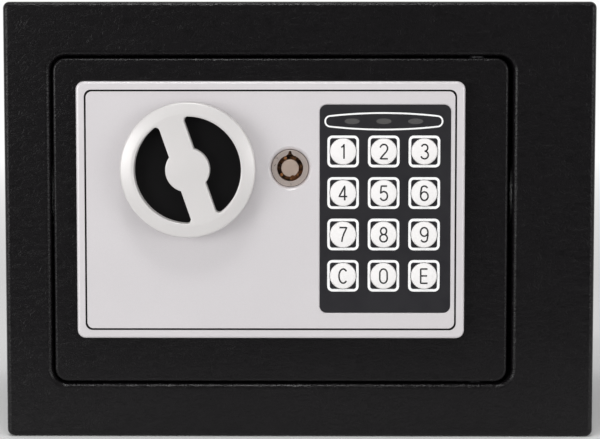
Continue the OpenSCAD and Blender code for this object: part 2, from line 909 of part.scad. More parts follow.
module front_panel() color("#dedadb") {
    difference() {
        facing(panel_x, panel_z, panel_front_y)
            soft_slab(panel_w, panel_h, panel_t, panel_corner, panel_edge);
        // face inside the rim, and the groove round it
        sheet_y(panel_x, panel_z, panel_front_y - 1, face_y)
            rounded_rect(inside_w, inside_h, groove_corner);
        sheet_y(panel_x, panel_z, face_y - 1, face_y + groove_d)
            difference() {
                rounded_rect(inside_w, inside_h, groove_corner);
                rounded_rect(inside_w - 2 * groove_w, inside_h - 2 * groove_w,
                    groove_corner - groove_w / 2);
            }
        // hollow behind
        sheet_y(panel_x, panel_z, panel_back_y, front_y + 1)
            square([panel_w - 2 * panel_wall, panel_h - 2 * panel_wall], center = true);
        // keypad window, keys, lenses, lock and spindle
        sheet_y(pad_x, pad_z, panel_front_y - 1, pad_floor_y)
            rounded_rect(pad_w + fit_loose, pad_h + fit_loose, pad_corner + fit_loose / 2);
        facing(pad_x, pad_z, face_y)
            outline_sweep(pad_w + fit_loose, pad_h + fit_loose, pad_corner + fit_loose / 2)
                polygon([[-pad_bevel, -pad_bevel], [2 * pad_bevel, -pad_bevel],
                    [-pad_bevel, 2 * pad_bevel]]);
        key_places()
            rod_y(0, 0, panel_front_y, front_y, key_r + fit_loose);
        lens_places()
            sheet_y(0, 0, panel_front_y, front_y)
                stadium(lens_w + fit_run, lens_h + fit_run);
        rod_y(lock_x, lock_z, panel_front_y - 1, front_y, lock_r + fit_loose);
        facing(lock_x, lock_z, face_y)
            cylinder(h = lock_dish_d, r1 = lock_r + fit_loose + lock_dish_w,
                r2 = lock_r + fit_loose);
        rod_y(knob_x, knob_z, panel_front_y - 1, front_y, bush_r + fit_loose);
    }
    // screw bosses and board bosses
    difference() {
        union() {
            panel_screw_places()
                rod_y(0, 0, panel_back_y, front_y, boss_r);
            at_corners(pad_x, pad_z, board_w / 2 - board_boss_in, board_h / 2 - board_boss_in)
                rod_y(0, 0, panel_back_y, board_front_y, board_boss_r);
        }
        panel_screw_places()
            rod_y(0, 0, panel_back_y + boss_skin, front_y + 1, screw_r);
    }
}

module panel_screws() color("#b9bbc0")
    panel_screw_places()
        pan_screw(plate_back_y, plate_back_y - panel_back_y - boss_skin);

module keypad_overlay() color("#313236") {
    difference() {
        sheet_y(pad_x, pad_z, pad_front_y, pad_floor_y)
            rounded_rect(pad_w, pad_h, pad_corner);
        key_places()
            rod_y(0, 0, pad_front_y - 1, pad_floor_y + 1, key_r + fit_loose);
        lens_places()
            sheet_y(0, 0, pad_front_y - 1, pad_floor_y + 1)
                stadium(lens_w + fit_run, lens_h + fit_run);
    }
}

module keypad_board() color("#1f6b45") {
    sheet_y(pad_x, pad_z, board_front_y, board_back_y)
        square([board_w, board_h], center = true);
    key_places()
        rod_y(0, 0, board_front_y - dome_t, board_front_y, dome_r);
    lens_places()
        box([-led_w / 2, board_front_y - led_h, -led_d / 2], [led_w / 2, board_front_y, led_d / 2]);
}

module indicator_lenses() color("#77787b")
    lens_places()
        sheet_y(0, 0, pad_front_y, board_front_y - led_h)
            stadium(lens_w, lens_h);

// Round key: domed cap, straight side, and a flange that holds it behind the panel wall
module key(i) {
    place = key_place(i);
    flange_y = panel_back_y + key_seat_gap;
    crown_r = (key_r * key_r + key_crown * key_crown) / (2 * key_crown);
    facing(place[0], place[1], key_edge_y - key_crown)
        rotate_extrude()
            intersection() {
                translate([0, crown_r])
                    circle(crown_r, $fn = 256);
                union() {
                    square([key_r - key_round, key_back_y - key_edge_y + key_crown]);
                    translate([0, key_crown + key_round])
                        square([key_r, key_back_y - key_edge_y - key_round]);
                    translate([key_r - key_round, key_crown + key_round])
                        circle(key_round);
                }
            }
    rod_y(place[0], place[1], flange_y, key_back_y, key_flange_r);
}

// ---- Circuit board, leads and power --------------------------------------------------

module main_board() color("#1f6b45") {
    sheet_y(main_board_x, main_board_z, main_front_y, main_back_y)
        square([main_board_w, main_board_h], center = true);
    // controller, reset switch under its button, and plug sockets
    half = switch_w / 2;
    box([chip_x, main_back_y, chip_z], [chip_x + chip_w, main_back_y + chip_t, chip_z + chip_w]);
    box([reset_x - half, main_back_y, reset_z - half],
        [reset_x + half, main_back_y + switch_h, reset_z + half]);
    box([socket_x, main_back_y, lead_z - socket_h / 2],
        [socket_x + socket_w, main_back_y + socket_t, lead_z + socket_h / 2]);
}

module standoff_places()
    at_corners(main_board_x, main_board_z, main_board_w / 2 - standoff_in,
        main_board_h / 2 - standoff_in)
        children();

module board_standoffs() color("#b9bbc0")
    standoff_places()
        rod_y(0, 0, plate_back_y, main_front_y, standoff_r);

module buzzer() color("#17171a") {
    difference() {
        rod_y(buzzer_x, buzzer_z, main_back_y, main_back_y + buzzer_h, buzzer_r);
        rod_y(buzzer_x, buzzer_z, main_back_y + buzzer_h - buzzer_hole_d,
            main_back_y + buzzer_h + 1, buzzer_hole_r);
    }
}

module keypad_ribbon() color("#9a9da3")
    sheet_y(ribbon_x, ribbon_z, board_back_y, main_front_y)
        square([ribbon_w, ribbon_t], center = true);

module solenoid_lead() color("#a33030") {
    side = max(abs(lead_y - plunger_y) - lead_r, 0);
    reach = sqrt(pow(coil_wound_r, 2) - pow(side, 2));
    rod_x(lead_y, lead_z, plunger_x + reach, socket_x, lead_r);
}

module battery_lead() color("#a33030") {
    turn_y = tray_front_y + battery_lead_out;
    turn_z = tray_z + tray_h / 2 + battery_lead_out;
    rod_z(battery_lead_x, turn_y, tray_z + tray_h / 2, turn_z, lead_r);
    translate([battery_lead_x, turn_y, turn_z])
        sphere(lead_r);
    rod_y(battery_lead_x, turn_z, main_back_y, turn_y, lead_r);
}

module battery_tray() color("#1b1b1e")
    difference() {
        sheet_y(tray_x, tray_z, tray_front_y, pan_back_y)
            square([tray_w, tray_h], center = true);
        sheet_y(tray_x, tray_z, tray_front_y + tray_wall, pan_back_y + 1)
            square([lid_w, lid_h], center = true);
    }

module batteries() color("#3f6f9e")
    for (i = [0:cell_count - 1]) {
        z = tray_z + (i - (cell_count - 1) / 2) * cell_pitch;
        nub = i % 2 == 0 ? 1 : -1;
        translate([tray_x, cell_y, z])
            mirror([nub < 0 ? 1 : 0, 0, 0]) {
                rod_x(0, 0, -cell_l / 2, cell_l / 2 - cell_nub, cell_r);
                rod_x(0, 0, cell_l / 2 - cell_nub, cell_l / 2, cell_nub_r);
            }
    }

module battery_contacts() color("#c9ccd0")
    for (i = [0:cell_count - 1], s = [-1, 1]) {
        z = tray_z + (i - (cell_count - 1) / 2) * cell_pitch;
        wall_x = cell_l / 2 + contact_room;
        half = contact_w / 2;
        translate([tray_x, cell_y, z])
            mirror([s < 0 ? 1 : 0, 0, 0]) {
                box([wall_x - contact_t, -half, -half], [wall_x, half, half]);
                rod_x(0, 0, cell_l / 2, wall_x - contact_t, contact_r);
            }
    }

module battery_cover() color("#222226") {
    difference() {
        sheet_y(tray_x, tray_z, pan_back_y, cover_back_y)
            square([lid_w - 2 * fit_loose, lid_h - 2 * fit_loose], center = true);
        // thumb grips
        for (i = [-2:2])
            sheet_y(tray_x, tray_z + lid_h / 2 - grip_in + i * grip_pitch,
                cover_back_y - grip_d, cover_back_y + 1)
                square([grip_w, grip_t], center = true);
    }
}

module reset_button() color("#a32222") {
    flange_y = pan_back_y - fit_loose / 2;
    difference() {
        rod_y(reset_x, reset_z, flange_y, cover_back_y + reset_out, reset_r);
        rod_y(reset_x, reset_z, cover_back_y + reset_out - reset_dish_t,
            cover_back_y + reset_out + 1, reset_r - reset_rim);
    }
    rod_y(reset_x, reset_z, flange_y - reset_flange_t, flange_y, reset_r + reset_flange_w);
    rod_y(reset_x, reset_z, main_back_y + switch_h + reset_travel + reset_stem_gap, flange_y,
        reset_stem_r);
}

// ---- Knob and crank ------------------------------------------------------------------

// The two finger pockets, drawn flat with the bar upright
module pockets_2d()
    offset(r = pocket_corner)
        offset(delta = -pocket_corner)
            difference() {
                circle(pocket_r, $fn = 96);
                square([bar_w, 2 * knob_r], center = true);
                circle(hub_r, $fn = 72);
            }

module knob() color("#edebe7") {
    difference() {
        facing(knob_x, knob_z, knob_front_y)
            rotate_extrude($fn = 128) {
                polygon([[0, 0], [knob_face_r, 0], [knob_rim_r, knob_fall], [knob_rim_r, knob_h],
                    [0, knob_h]]);
                translate([knob_rim_r, knob_fall + knob_edge])
                    square([knob_edge, knob_h - knob_fall - knob_edge]);
                translate([knob_rim_r, knob_fall])
                    intersection() {
                        translate([0, knob_edge])
                            circle(knob_edge);
                        square([knob_edge, knob_edge]);
                    }
            }
        facing(knob_x, knob_z, knob_front_y - 1)
            rotate([0, 0, bar_tilt])
                linear_extrude(pocket_d + 2)
                    pockets_2d();
        sheet_y(knob_x, knob_z, pocket_floor_y, knob_back_y + 1)
            difference() {
                circle(insert_r);
                circle(boss_hub_r);
            }
        rod_y(knob_x, knob_z, hub_bore_y, knob_back_y + 1, spindle_r);
    }
}

module knob_insert() color("#141416")
    sheet_y(knob_x, knob_z, pocket_floor_y, pocket_floor_y + insert_t)
        difference() {
            circle(insert_r);
            circle(boss_hub_r);
        }

module knob_spindle() color("#c3c5c9")
    difference() {
        rod_y(knob_x, knob_z, hub_bore_y, crank_back_y, spindle_r);
        sheet_y(knob_x, knob_z, bush_back_y + clip_gap, bush_back_y + clip_gap + clip_t)
            difference() {
                circle(spindle_r + 1);
                circle(spindle_r - clip_groove);
            }
    }

module spindle_bush() color("#b08d57")
    difference() {
        union() {
            rod_y(knob_x, knob_z, face_y + bush_gap, bush_back_y, bush_r);
            rod_y(knob_x, knob_z, plate_back_y, plate_back_y + bush_flange_t, bush_flange_r);
        }
        rod_y(knob_x, knob_z, face_y - 1, bush_back_y + 1, spindle_r + fit_run);
    }

module spindle_clip() color("#8d9095")
    sheet_y(knob_x, knob_z, bush_back_y + clip_gap, bush_back_y + clip_gap + clip_t)
        difference() {
            circle(clip_r);
            circle(spindle_r - clip_groove);
            translate([-clip_groove, -clip_r])
                square([2 * (spindle_r - clip_mouth), clip_r + clip_mouth]);
        }

// Arm on the spindle's end with the pin that moves the bolt plate
module drive_crank() color("#8d9095") {
    sheet_y(knob_x, knob_z, crank_front_y, crank_back_y)
        difference() {
            rotate([0, 0, -crank_throw]) {
                circle(crank_hub_r);
                translate([0, crank_r])
                    circle(crank_end_r);
                translate([-crank_end_r, 0])
                    square([2 * crank_end_r, crank_r]);
            }
            circle(spindle_r);
        }
    rod_y(slot_x, knob_z + crank_r * cos(crank_throw), crank_back_y,
        bolt_plate_back_y + pin_over, crank_pin_d / 2);
}

// ---- Bolt work -----------------------------------------------------------------------

module bolt_plate() color("#a9acb1") {
    low = bolt_low_z - plate_margin;
    high = bolt_high_z + plate_margin;
    arm_right = plunger_x + throw + notch_half + arm_edge;
    difference() {
        union() {
            box([bolt_seat_x, plate_front_y, low], [plate_right_x, bolt_plate_back_y, high]);
            box([plate_right_x - 1, plate_front_y, arm_top_z - arm_h],
                [arm_right, bolt_plate_back_y, arm_top_z]);
            box([bolt_seat_x, plate_front_y, low],
                [bolt_seat_x + bolt_plate_t, bolt_y + bolt_r, high]);
        }
        // upright slot for the crank pin
        sheet_y(slot_x, (slot_low + slot_high) / 2, plate_front_y - 1, bolt_plate_back_y + 1)
            rotate([0, 0, 90])
                stadium(slot_high - slot_low, 2 * slot_r);
        // level slots for the guide posts
        for (z = [post_low_z, post_high_z])
            sheet_y(post_x + throw / 2, z, plate_front_y - 1, bolt_plate_back_y + 1)
                stadium(throw + 2 * (post_r + fit_slot), 2 * (post_r + fit_loose));
        // plunger notches for both ends of the travel
        for (x = [plunger_x, plunger_x + throw])
            box([x - notch_half, plate_front_y - 1, arm_top_z - notch_d],
                [x + notch_half, bolt_plate_back_y + 1, arm_top_z + 1]);
        for (z = [bolt_low_z, bolt_high_z])
            rod_x(bolt_y, z, bolt_seat_x - 1, bolt_seat_x + bolt_plate_t + 1, shank_r);
    }
}

// Round bolt with a chamfered nose, riveted to the bolt plate's flange
module bolt(z) {
    nose_x = bolt_tip_x + bolt_chamfer;
    rivet_x = bolt_seat_x + bolt_plate_t;
    rod_x(bolt_y, z, nose_x, bolt_seat_x, bolt_r);
    translate([bolt_tip_x, bolt_y, z])
        rotate([0, 90, 0])
            cylinder(h = bolt_chamfer, r1 = bolt_r - bolt_chamfer, r2 = bolt_r);
    rod_x(bolt_y, z, bolt_seat_x, rivet_x, shank_r);
    rod_x(bolt_y, z, rivet_x, rivet_x + rivet_t, rivet_r);
}

module upper_bolt() color("#d3d5d8")
    bolt(bolt_high_z);

module lower_bolt() color("#d3d5d8")
    bolt(bolt_low_z);

module bolt_bushes() color("#b08d57")
    for (z = [bolt_low_z, bolt_high_z])
        difference() {
            union() {
                rod_x(bolt_y, z, pan_left_x, pan_left_x + pan_sheet, bolt_bush_r);
                rod_x(bolt_y, z, pan_left_x + pan_sheet, pan_left_x + pan_sheet + bolt_bush_flange,
                    bolt_bush_r + bolt_bush_flange_w);
            }
            rod_x(bolt_y, z, pan_left_x - 1, pan_left_x + pan_sheet + bolt_bush_flange + 1,
                bolt_r + fit_loose / 2);
        }

// Shouldered posts that carry the bolt plate
module guide_posts() color("#b9bbc0")
    for (z = [post_low_z, post_high_z]) {
        head_y = bolt_plate_back_y + post_gap;
        rod_y(post_x, z, plate_back_y, plate_front_y - post_gap, post_collar_r);
        rod_y(post_x, z, plate_front_y - post_gap, head_y, post_r);
        rod_y(post_x, z, head_y, head_y + post_head_t, post_collar_r);
    }

// ---- Key lock and solenoid -----------------------------------------------------------

module lock_housing() color("#b5aca6")
    difference() {
        union() {
            rod_y(lock_x, lock_z, lock_front_y + lock_edge, lock_back_y, lock_r);
            facing(lock_x, lock_z, lock_front_y)
                cylinder(h = lock_edge, r1 = lock_r - lock_edge, r2 = lock_r);
        }
        rod_y(lock_x, lock_z, lock_front_y - 1, lock_back_y + 1, keyway_d / 2);
        facing(lock_x, lock_z, lock_front_y)
            cylinder(h = lock_edge, r1 = keyway_d / 2 + lock_edge, r2 = keyway_d / 2);
        // key notch at twelve o'clock, wide at the keyway and narrow at the top
        sheet_y(lock_x, lock_z, lock_front_y - 1, lock_front_y + key_notch_d)
            translate([0, keyway_d / 2])
                polygon([[-key_notch_w / 2, -key_notch_low], [key_notch_w / 2, -key_notch_low],
                    [key_notch_tip, key_notch_h / 3], [key_notch_tip / 2, key_notch_h],
                    [-key_notch_tip / 2, key_notch_h], [-key_notch_tip, key_notch_h / 3]]);
    }

module lock_nut() color("#b9bbc0")
    difference() {
        sheet_y(lock_x, lock_z, plate_back_y, plate_back_y + nut_t)
            circle(nut_af / 2 / cos(30), $fn = 6);
        rod_y(lock_x, lock_z, plate_back_y - 1, plate_back_y + nut_t + 1, lock_r);
    }

module lock_core() color("#b5aca6") {
    pin_circle = (keyway_d / 2 + post_d / 2) / 2;
    post_front_y = lock_front_y + core_sink;
    difference() {
        union() {
            rod_y(lock_x, lock_z, keyway_floor_y, core_back_y, core_r);
            rod_y(lock_x, lock_z, post_front_y + lock_edge, keyway_floor_y, post_d / 2);
            facing(lock_x, lock_z, post_front_y)
                cylinder(h = lock_edge, r1 = post_d / 2 - lock_edge, r2 = post_d / 2);
        }
        // small notch of the core at half past five
        rotate_about(lock_x, lock_z, 165)
            box([-core_notch_w / 2, lock_front_y, post_d / 2 - core_notch_d],
                [core_notch_w / 2, keyway_floor_y - core_notch_up, keyway_d / 2]);
    }
    for (i = [0:tumbler_count - 1])
        rotate_about(lock_x, lock_z, (i + 0.5) * 360 / tumbler_count)
            rod_y(0, pin_circle, keyway_floor_y - tumbler_out, keyway_floor_y + 1, tumbler_r);
    rod_y(lock_x, lock_z, core_back_y, cam_front_y + cam_t + tail_out, tail_r);
}

// Turns its children about the front-to-back line through (x, z), clockwise from the front
module rotate_about(x, z, angle)
    translate([x, 0, z])
        rotate([0, angle, 0])
            children();

// Arm that lifts the plunger's collar when the key is turned
module lock_cam() color("#8d9095")
    sheet_y(lock_x, lock_z, cam_front_y, cam_front_y + cam_t)
        difference() {
            union() {
                circle(cam_hub_r);
                translate([-cam_half, -cam_r])
                    square([2 * cam_half, cam_r]);
                translate([0, -cam_r])
                    circle(cam_half);
            }
            circle(tail_r);
        }

module solenoid_frame() color("#9fa2a7") {
    half = coil_frame_w / 2;
    rear_y = plunger_y + coil_r + coil_frame_in;
    difference() {
        union() {
            box([plunger_x - half, plate_back_y, coil_frame_z],
                [plunger_x + half, plate_back_y + coil_frame_t, coil_frame_top]);
            for (z = [coil_frame_z, coil_frame_top - coil_frame_t])
                box([plunger_x - half, plate_back_y, z],
                    [plunger_x + half, rear_y, z + coil_frame_t]);
        }
        rod_z(plunger_x, plunger_y, coil_frame_z - 1, coil_frame_top + 1, stem_r + fit_loose);
    }
}

module solenoid_coil() color("#7a3b1e") {
    low = coil_frame_z + coil_frame_t;
    high = coil_frame_top - coil_frame_t;
    difference() {
        union() {
            rod_z(plunger_x, plunger_y, low, low + coil_flange_t, coil_r);
            rod_z(plunger_x, plunger_y, low + coil_flange_t, high - coil_flange_t, coil_wound_r);
            rod_z(plunger_x, plunger_y, high - coil_flange_t, high, coil_r);
        }
        rod_z(plunger_x, plunger_y, low - 1, high + 1, stem_r + fit_loose);
    }
}

module solenoid_plunger() color("#c3c5c9") {
    rod_z(plunger_x, plunger_y, nose_z, collar_z, nose_r);
    rod_z(plunger_x, plunger_y, collar_z, collar_z + collar_t, collar_r);
    rod_z(plunger_x, plunger_y, collar_z + collar_t, coil_frame_top - stem_in, stem_r);
}

// Plunger spring, as a stack of its turns
module plunger_spring() color("#8d9095") {
    low = collar_z + collar_t;
    rise = (coil_frame_z - low - 2 * spring_wire_r) / (spring_turns - 1);
    translate([plunger_x, plunger_y, low + spring_wire_r]) {
        for (i = [0:spring_turns - 1])
            translate([0, 0, i * rise])
                rotate_extrude()
                    translate([spring_r, 0])
                        circle(spring_wire_r);
        for (i = [0:spring_turns - 2])
            rotate([0, 0, i * 180])
                rod_z(spring_r, 0, i * rise, (i + 1) * rise, spring_wire_r * 0.8);
    }
}

front_frame();
body_wrap();
back_panel();
hinge_bracket_upper();
hinge_bracket_lower();
floor_mat();
door_plate();
door_pan();
back_cover();
cover_screws();
hinge_blocks();
hinge_pins();
front_panel();
panel_screws();
keypad_overlay();
keypad_board();
indicator_lenses();
main_board();
board_standoffs();
buzzer();
keypad_ribbon();
solenoid_lead();
battery_lead();
spindle_bush();
bolt_bushes();
guide_posts();
lock_housing();
lock_nut();
solenoid_frame();
solenoid_coil();
battery_tray();
batteries();
battery_contacts();
knob();
knob_insert();
knob_spindle();
spindle_clip();
drive_crank();
bolt_plate();
upper_bolt();
lower_bolt();
lock_core();
lock_cam();
solenoid_plunger();
plunger_spring();
battery_cover();
reset_button();
for (i = [0:len(KEYS) - 1])
    color("#f0efef") key(i);
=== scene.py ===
"""Looks of a small electronic safe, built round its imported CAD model.

Everything is in metres in the model's own frame: +X to the right as seen from the front,
+Y from the front into the safe, +Z up.
"""

import json
import math
import random

import bmesh
import bpy
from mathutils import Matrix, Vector
from mathutils.bvhtree import BVHTree
from mathutils.geometry import tessellate_polygon


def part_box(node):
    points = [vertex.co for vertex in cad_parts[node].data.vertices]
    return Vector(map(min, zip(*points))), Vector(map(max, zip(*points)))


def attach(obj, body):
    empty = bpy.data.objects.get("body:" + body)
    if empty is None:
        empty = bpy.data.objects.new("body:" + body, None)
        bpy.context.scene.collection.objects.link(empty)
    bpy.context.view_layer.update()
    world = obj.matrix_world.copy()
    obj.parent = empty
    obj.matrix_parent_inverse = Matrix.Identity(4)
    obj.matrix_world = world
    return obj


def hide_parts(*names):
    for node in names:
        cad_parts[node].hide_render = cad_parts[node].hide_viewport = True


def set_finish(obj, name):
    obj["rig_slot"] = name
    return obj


MM = 0.001

# Camera: where the photograph was taken from, and what it points at
CAMERA_AT = Vector((6.4, -885, 150.4)) * MM
CAMERA_AIM = Vector((0.2, -85, 85.5)) * MM
CAMERA_LENS = 123.6
CAMERA_SENSOR = 36.0

# Light: strength of the ambient light, and of the dark studio in front in reflections
AMBIENT = 0.58
STUDIO_DARK = 0.2
STUDIO_EDGE = 0.3

# Lamps: name, place, aim, width, height and watts
LAMPS = (
    ("top_softbox", (-0.08, -0.62, 1.15), (0, -0.08, 0.1), 0.36, 0.2, 3.5),
    ("left_softbox", (-1.2, -1.25, 0.3), (0, -0.08, 0.08), 1.1, 0.6, 10),
    ("right_softbox", (1.3, -1.3, 0.3), (0, -0.08, 0.08), 1.1, 0.6, 6.4),
)

# Floor: where it starts to fade to white, where it is white, and its dark part in reflections
FLOOR_R = 8.0
FLOOR_DROP = 0.2 * MM
FLOOR_PALE_R = 0.5
FLOOR_WHITE_R = 2.0
FLOOR_DARK_Y = -0.32
FLOOR_LIGHT_Y = -0.12

# Front panel
RIM_W = 3.2 * MM
GROOVE_W = 0.7 * MM
GROOVE_CORNER = 2.7 * MM
GROOVE_FLOOR = 0.8 * MM
INLAY_T = 0.45 * MM

# Keypad print
INK_T = 0.03 * MM
FRAME_W = 12.2 * MM
FRAME_H = 12.3 * MM
FRAME_LINE = 1.0 * MM
FRAME_CORNER = 2.0 * MM
KEY_FLANGE = 0.75 * MM
KEY_HOLE_GAP = 0.22 * MM
OUTLINE_W = 45.9 * MM
OUTLINE_SHIFT = 0.6 * MM
OUTLINE_MID_H = 7.0 * MM
OUTLINE_END_H = 4.75 * MM
OUTLINE_LINE = 0.62 * MM
LENS_W = 6.0 * MM
WINDOW_W = 5.9 * MM
WINDOW_H = 2.2 * MM
DIGIT_H = 5.55 * MM
DIGIT_W = 5.3 * MM
DIGIT_LINE = 0.6 * MM
DIGIT_STEP = 0.35 * MM

# Knob
POCKET_R = 20.5 * MM
POCKET_CORNER = 1.5 * MM
POCKET_LIP = 0.6 * MM
POCKET_SINK = 0.3 * MM
HUB_R = 8.5 * MM
BAR_HALF = 5.0 * MM
BAR_TILT = math.radians(19.2)
RING_LIP = 0.9 * MM
RING_FALL = 1.1 * MM
RING_EDGE = 1.0 * MM
RING_BAND = 0.1 * MM
RING_BLEND = 0.5 * MM
KNOB_BACK_EDGE = 0.5 * MM

# Lock
POST_R = 3.45 * MM
POST_EDGE = 0.1 * MM
# Depth behind the lock's face where painted shade in the keyway starts, and where it is full
KEYWAY_SHADE_START = 0.45 * MM
KEYWAY_SHADE_FULL = 1.0 * MM

# Battery cells: bare length at each end, and where along half a sleeve its dark part starts
CELL_BARE = 2.2 * MM
CELL_BAND = 0.45

# Felt mat
ANCHOR_X = 60 * MM
MAT_HOLE_R = 7 * MM
MAT_STEP = 3.0 * MM
MAT_SAG = 0.06
MAT_EDGE_SAG = 0.45
MAT_SAG_CHANGE = 0.1

KEYS = {
    "key_1": "1", "key_2": "2", "key_3": "3", "key_4": "4", "key_5": "5", "key_6": "6",
    "key_7": "7", "key_8": "8", "key_9": "9", "key_clear": "C", "key_0": "0", "key_enter": "E",
}


# ---- Node materials ---------------------------------------------------------------------

class Graph:
    """Short calls that add nodes to a tree; place is the coordinate that its textures follow."""

    def __init__(self, tree, coordinate):
        self.tree = tree
        self.place = self.node("ShaderNodeTexCoord").outputs[coordinate]

    def node(self, kind, **settings):
        made = self.tree.nodes.new(kind)
        for key, value in settings.items():
            setattr(made, key, value)
        return made

    def link(self, source, target):
        self.tree.links.new(source, target)

    def put(self, target, value):
        """Give the socket target a number, a colour or another socket."""
        if isinstance(value, bpy.types.NodeSocket):
            self.link(value, target)
        elif isinstance(value, tuple):
            target.default_value = (*value, 1.0)
        else:
            target.default_value = value

    def axis(self, name):
        split = self.node("ShaderNodeSeparateXYZ")
        self.link(self.place, split.inputs["Vector"])
        return split.outputs[name]

    def remap(self, source, low, high, out_low=0.0, out_high=1.0):
        made = self.node("ShaderNodeMapRange")
        for key, value in (("From Min", low), ("From Max", high), ("To Min", out_low),
                           ("To Max", out_high)):
            made.inputs[key].default_value = value
        self.link(source, made.inputs["Value"])
        return made.outputs["Result"]

    def math(self, operation, a, b=0):
        made = self.node("ShaderNodeMath", operation=operation)
        self.put(made.inputs[0], a)
        self.put(made.inputs[1], b)
        return made.outputs[0]

    def mix(self, kind, factor, first, second):
        """Goes from first to second with factor; kind is FLOAT or RGBA."""
        socket_type = "VALUE" if kind == "FLOAT" else kind
        made = self.node("ShaderNodeMix", data_type=kind)
        self.link(factor, made.inputs["Factor"])
        for name, value in (("A", first), ("B", second)):
            target = [i for i in made.inputs if i.name == name and i.type == socket_type][0]
            self.put(target, value)
        return [o for o in made.outputs if o.type == socket_type][0]

    def blend(self, factor, first, second):
        return self.mix("RGBA", factor, first, second)


class Finish(Graph):
    """One node material: a principled surface with its procedural detail."""

    def __init__(self, name, color, roughness, metallic=0.0, specular=0.5):
        self.material = bpy.data.materials.new(name)
        self.material.use_nodes = True
        super().__init__(self.material.node_tree, "Object")
        self.surface = self.tree.nodes["Principled BSDF"]
        self.set("Base Color", (*color, 1.0))
        self.set("Roughness", roughness)
        self.set("Metallic", metallic)
        self.set("Specular IOR Level", specular)
        self.normal = None

    def set(self, socket, value):
        self.surface.inputs[socket].default_value = value

    def feed(self, socket, source):
        self.link(source, self.surface.inputs[socket])

    def stretch(self, scale):
        mapping = self.node("ShaderNodeMapping")
        mapping.inputs["Scale"].default_value = scale
        self.link(self.place, mapping.inputs["Vector"])
        return mapping.outputs["Vector"]

    def noise(self, scale, detail=2.0, place=None, warp=0.0):
        made = self.node("ShaderNodeTexNoise")
        made.inputs["Scale"].default_value = scale
        made.inputs["Detail"].default_value = detail
        made.inputs["Distortion"].default_value = warp
        self.link(place or self.place, made.inputs["Vector"])
        return made.outputs["Fac"]

    def cells(self, scale):
        made = self.node("ShaderNodeTexVoronoi", feature="SMOOTH_F1")
        made.inputs["Scale"].default_value = scale
        made.inputs["Smoothness"].default_value = 0.6
        self.link(self.place, made.inputs["Vector"])
        return made.outputs["Distance"]

    def bump(self, height, depth, strength=1.0):
        made = self.node("ShaderNodeBump")
        made.inputs["Distance"].default_value = depth
        made.inputs["Strength"].default_value = strength
        self.link(height, made.inputs["Height"])
        if self.normal:
            self.link(self.normal, made.inputs["Normal"])
        self.normal = made.outputs["Normal"]
        self.feed("Normal", self.normal)


def srgb(red, green, blue):
    """Linear colour of an sRGB value from 0 to 255."""
    def channel(value):
        value /= 255
        return value / 12.92 if value <= 0.04045 else ((value + 0.055) / 1.055) ** 2.4
    return tuple(channel(v) for v in (red, green, blue))


def shade(color, factor):
    return tuple(min(1.0, c * factor) for c in color)


def wrinkle_paint(name, color):
    """Black powder coat with a fine wrinkle that runs mostly sideways, and painted shade down in its
    creases.
    """
    roughness = 0.28
    f = Finish(name, color, roughness, specular=0.28)
    creases = f.noise(300, detail=3, place=f.stretch((0.55, 0.8, 1.25)), warp=1.6)
    creases = f.math("ABSOLUTE", f.math("SUBTRACT", creases, 0.5))
    fine = f.noise(2600, detail=3)
    f.bump(f.remap(creases, 0.0, 0.09), 0.05 * MM, 0.9)
    f.bump(fine, 0.015 * MM, 0.7)
    patches = f.noise(38, detail=3)
    tone = f.blend(patches, shade(color, 0.85), shade(color, 1.15))
    # Base colour half as dark down in the creases: painted shade.
    f.feed("Base Color", f.blend(f.remap(creases, 0.0, 0.05), shade(color, 0.5), tone))
    f.feed("Roughness", f.remap(fine, 0.3, 0.7, roughness - 0.06, roughness + 0.08))
    return f.material


def satin_paint(name, color, roughness, metallic=0.0, flake=0.0):
    """Smooth sprayed paint, with fine metal flake where flake is above 0."""
    f = Finish(name, color, roughness, metallic)
    speck = f.noise(5200, detail=1)
    cloud = f.noise(14, detail=2)
    tone = f.blend(cloud, shade(color, 0.97), shade(color, 1.02))
    f.feed("Base Color", f.blend(f.remap(speck, 0.35, 0.65, 0, flake), tone, shade(color, 0.86)))
    f.bump(f.noise(900, detail=2), 0.012 * MM, 0.5)
    f.feed("Roughness", f.remap(f.noise(60, detail=3), 0.3, 0.7, roughness - 0.03, roughness + 0.04))
    return f.material


def moulded_plastic(name, color, roughness, grain=1800, depth=0.03 * MM, specular=0.45):
    """Injection-moulded plastic with a fine spark-eroded grain."""
    f = Finish(name, color, roughness, specular=specular)
    pits = f.cells(grain)
    f.bump(pits, depth, 0.6)
    f.feed("Base Color", f.blend(f.noise(30, detail=3), shade(color, 0.9), shade(color, 1.1)))
    f.feed("Roughness", f.remap(f.noise(220, detail=2), 0.3, 0.7, roughness - 0.05, roughness + 0.06))
    return f.material


def plated_steel(name, color, roughness, lay=(1, 1, 1)):
    """Plated or turned metal: faint patches, and fine marks along one direction."""
    f = Finish(name, color, roughness, metallic=1.0)
    patches = f.noise(90, detail=4, warp=0.4)
    marks = f.noise(1400, detail=2, place=f.stretch(lay))
    f.feed("Base Color", f.blend(patches, shade(color, 0.82), shade(color, 1.06)))
    f.feed("Roughness", f.remap(marks, 0.3, 0.7, roughness - 0.08, roughness + 0.1))
    f.bump(marks, 0.01 * MM, 0.5)
    return f.material


def felt(name, color):
    """Short grey felt with light flecks."""
    f = Finish(name, color, 0.95, specular=0.2)
    f.set("Sheen Weight", 0.25)
    f.set("Sheen Roughness", 0.6)
    fibres = f.noise(1500, detail=4, place=f.stretch((1.0, 0.25, 1.0)), warp=1.2)
    tufts = f.noise(260, detail=3)
    fleck = f.noise(2600, detail=1)
    tone = f.blend(tufts, shade(color, 0.72), shade(color, 1.2))
    f.feed("Base Color", f.blend(f.remap(fleck, 0.62, 0.72), tone, shade(color, 2.1)))
    f.bump(tufts, 0.35 * MM, 0.6)
    f.bump(fibres, 0.25 * MM, 0.9)
    return f.material


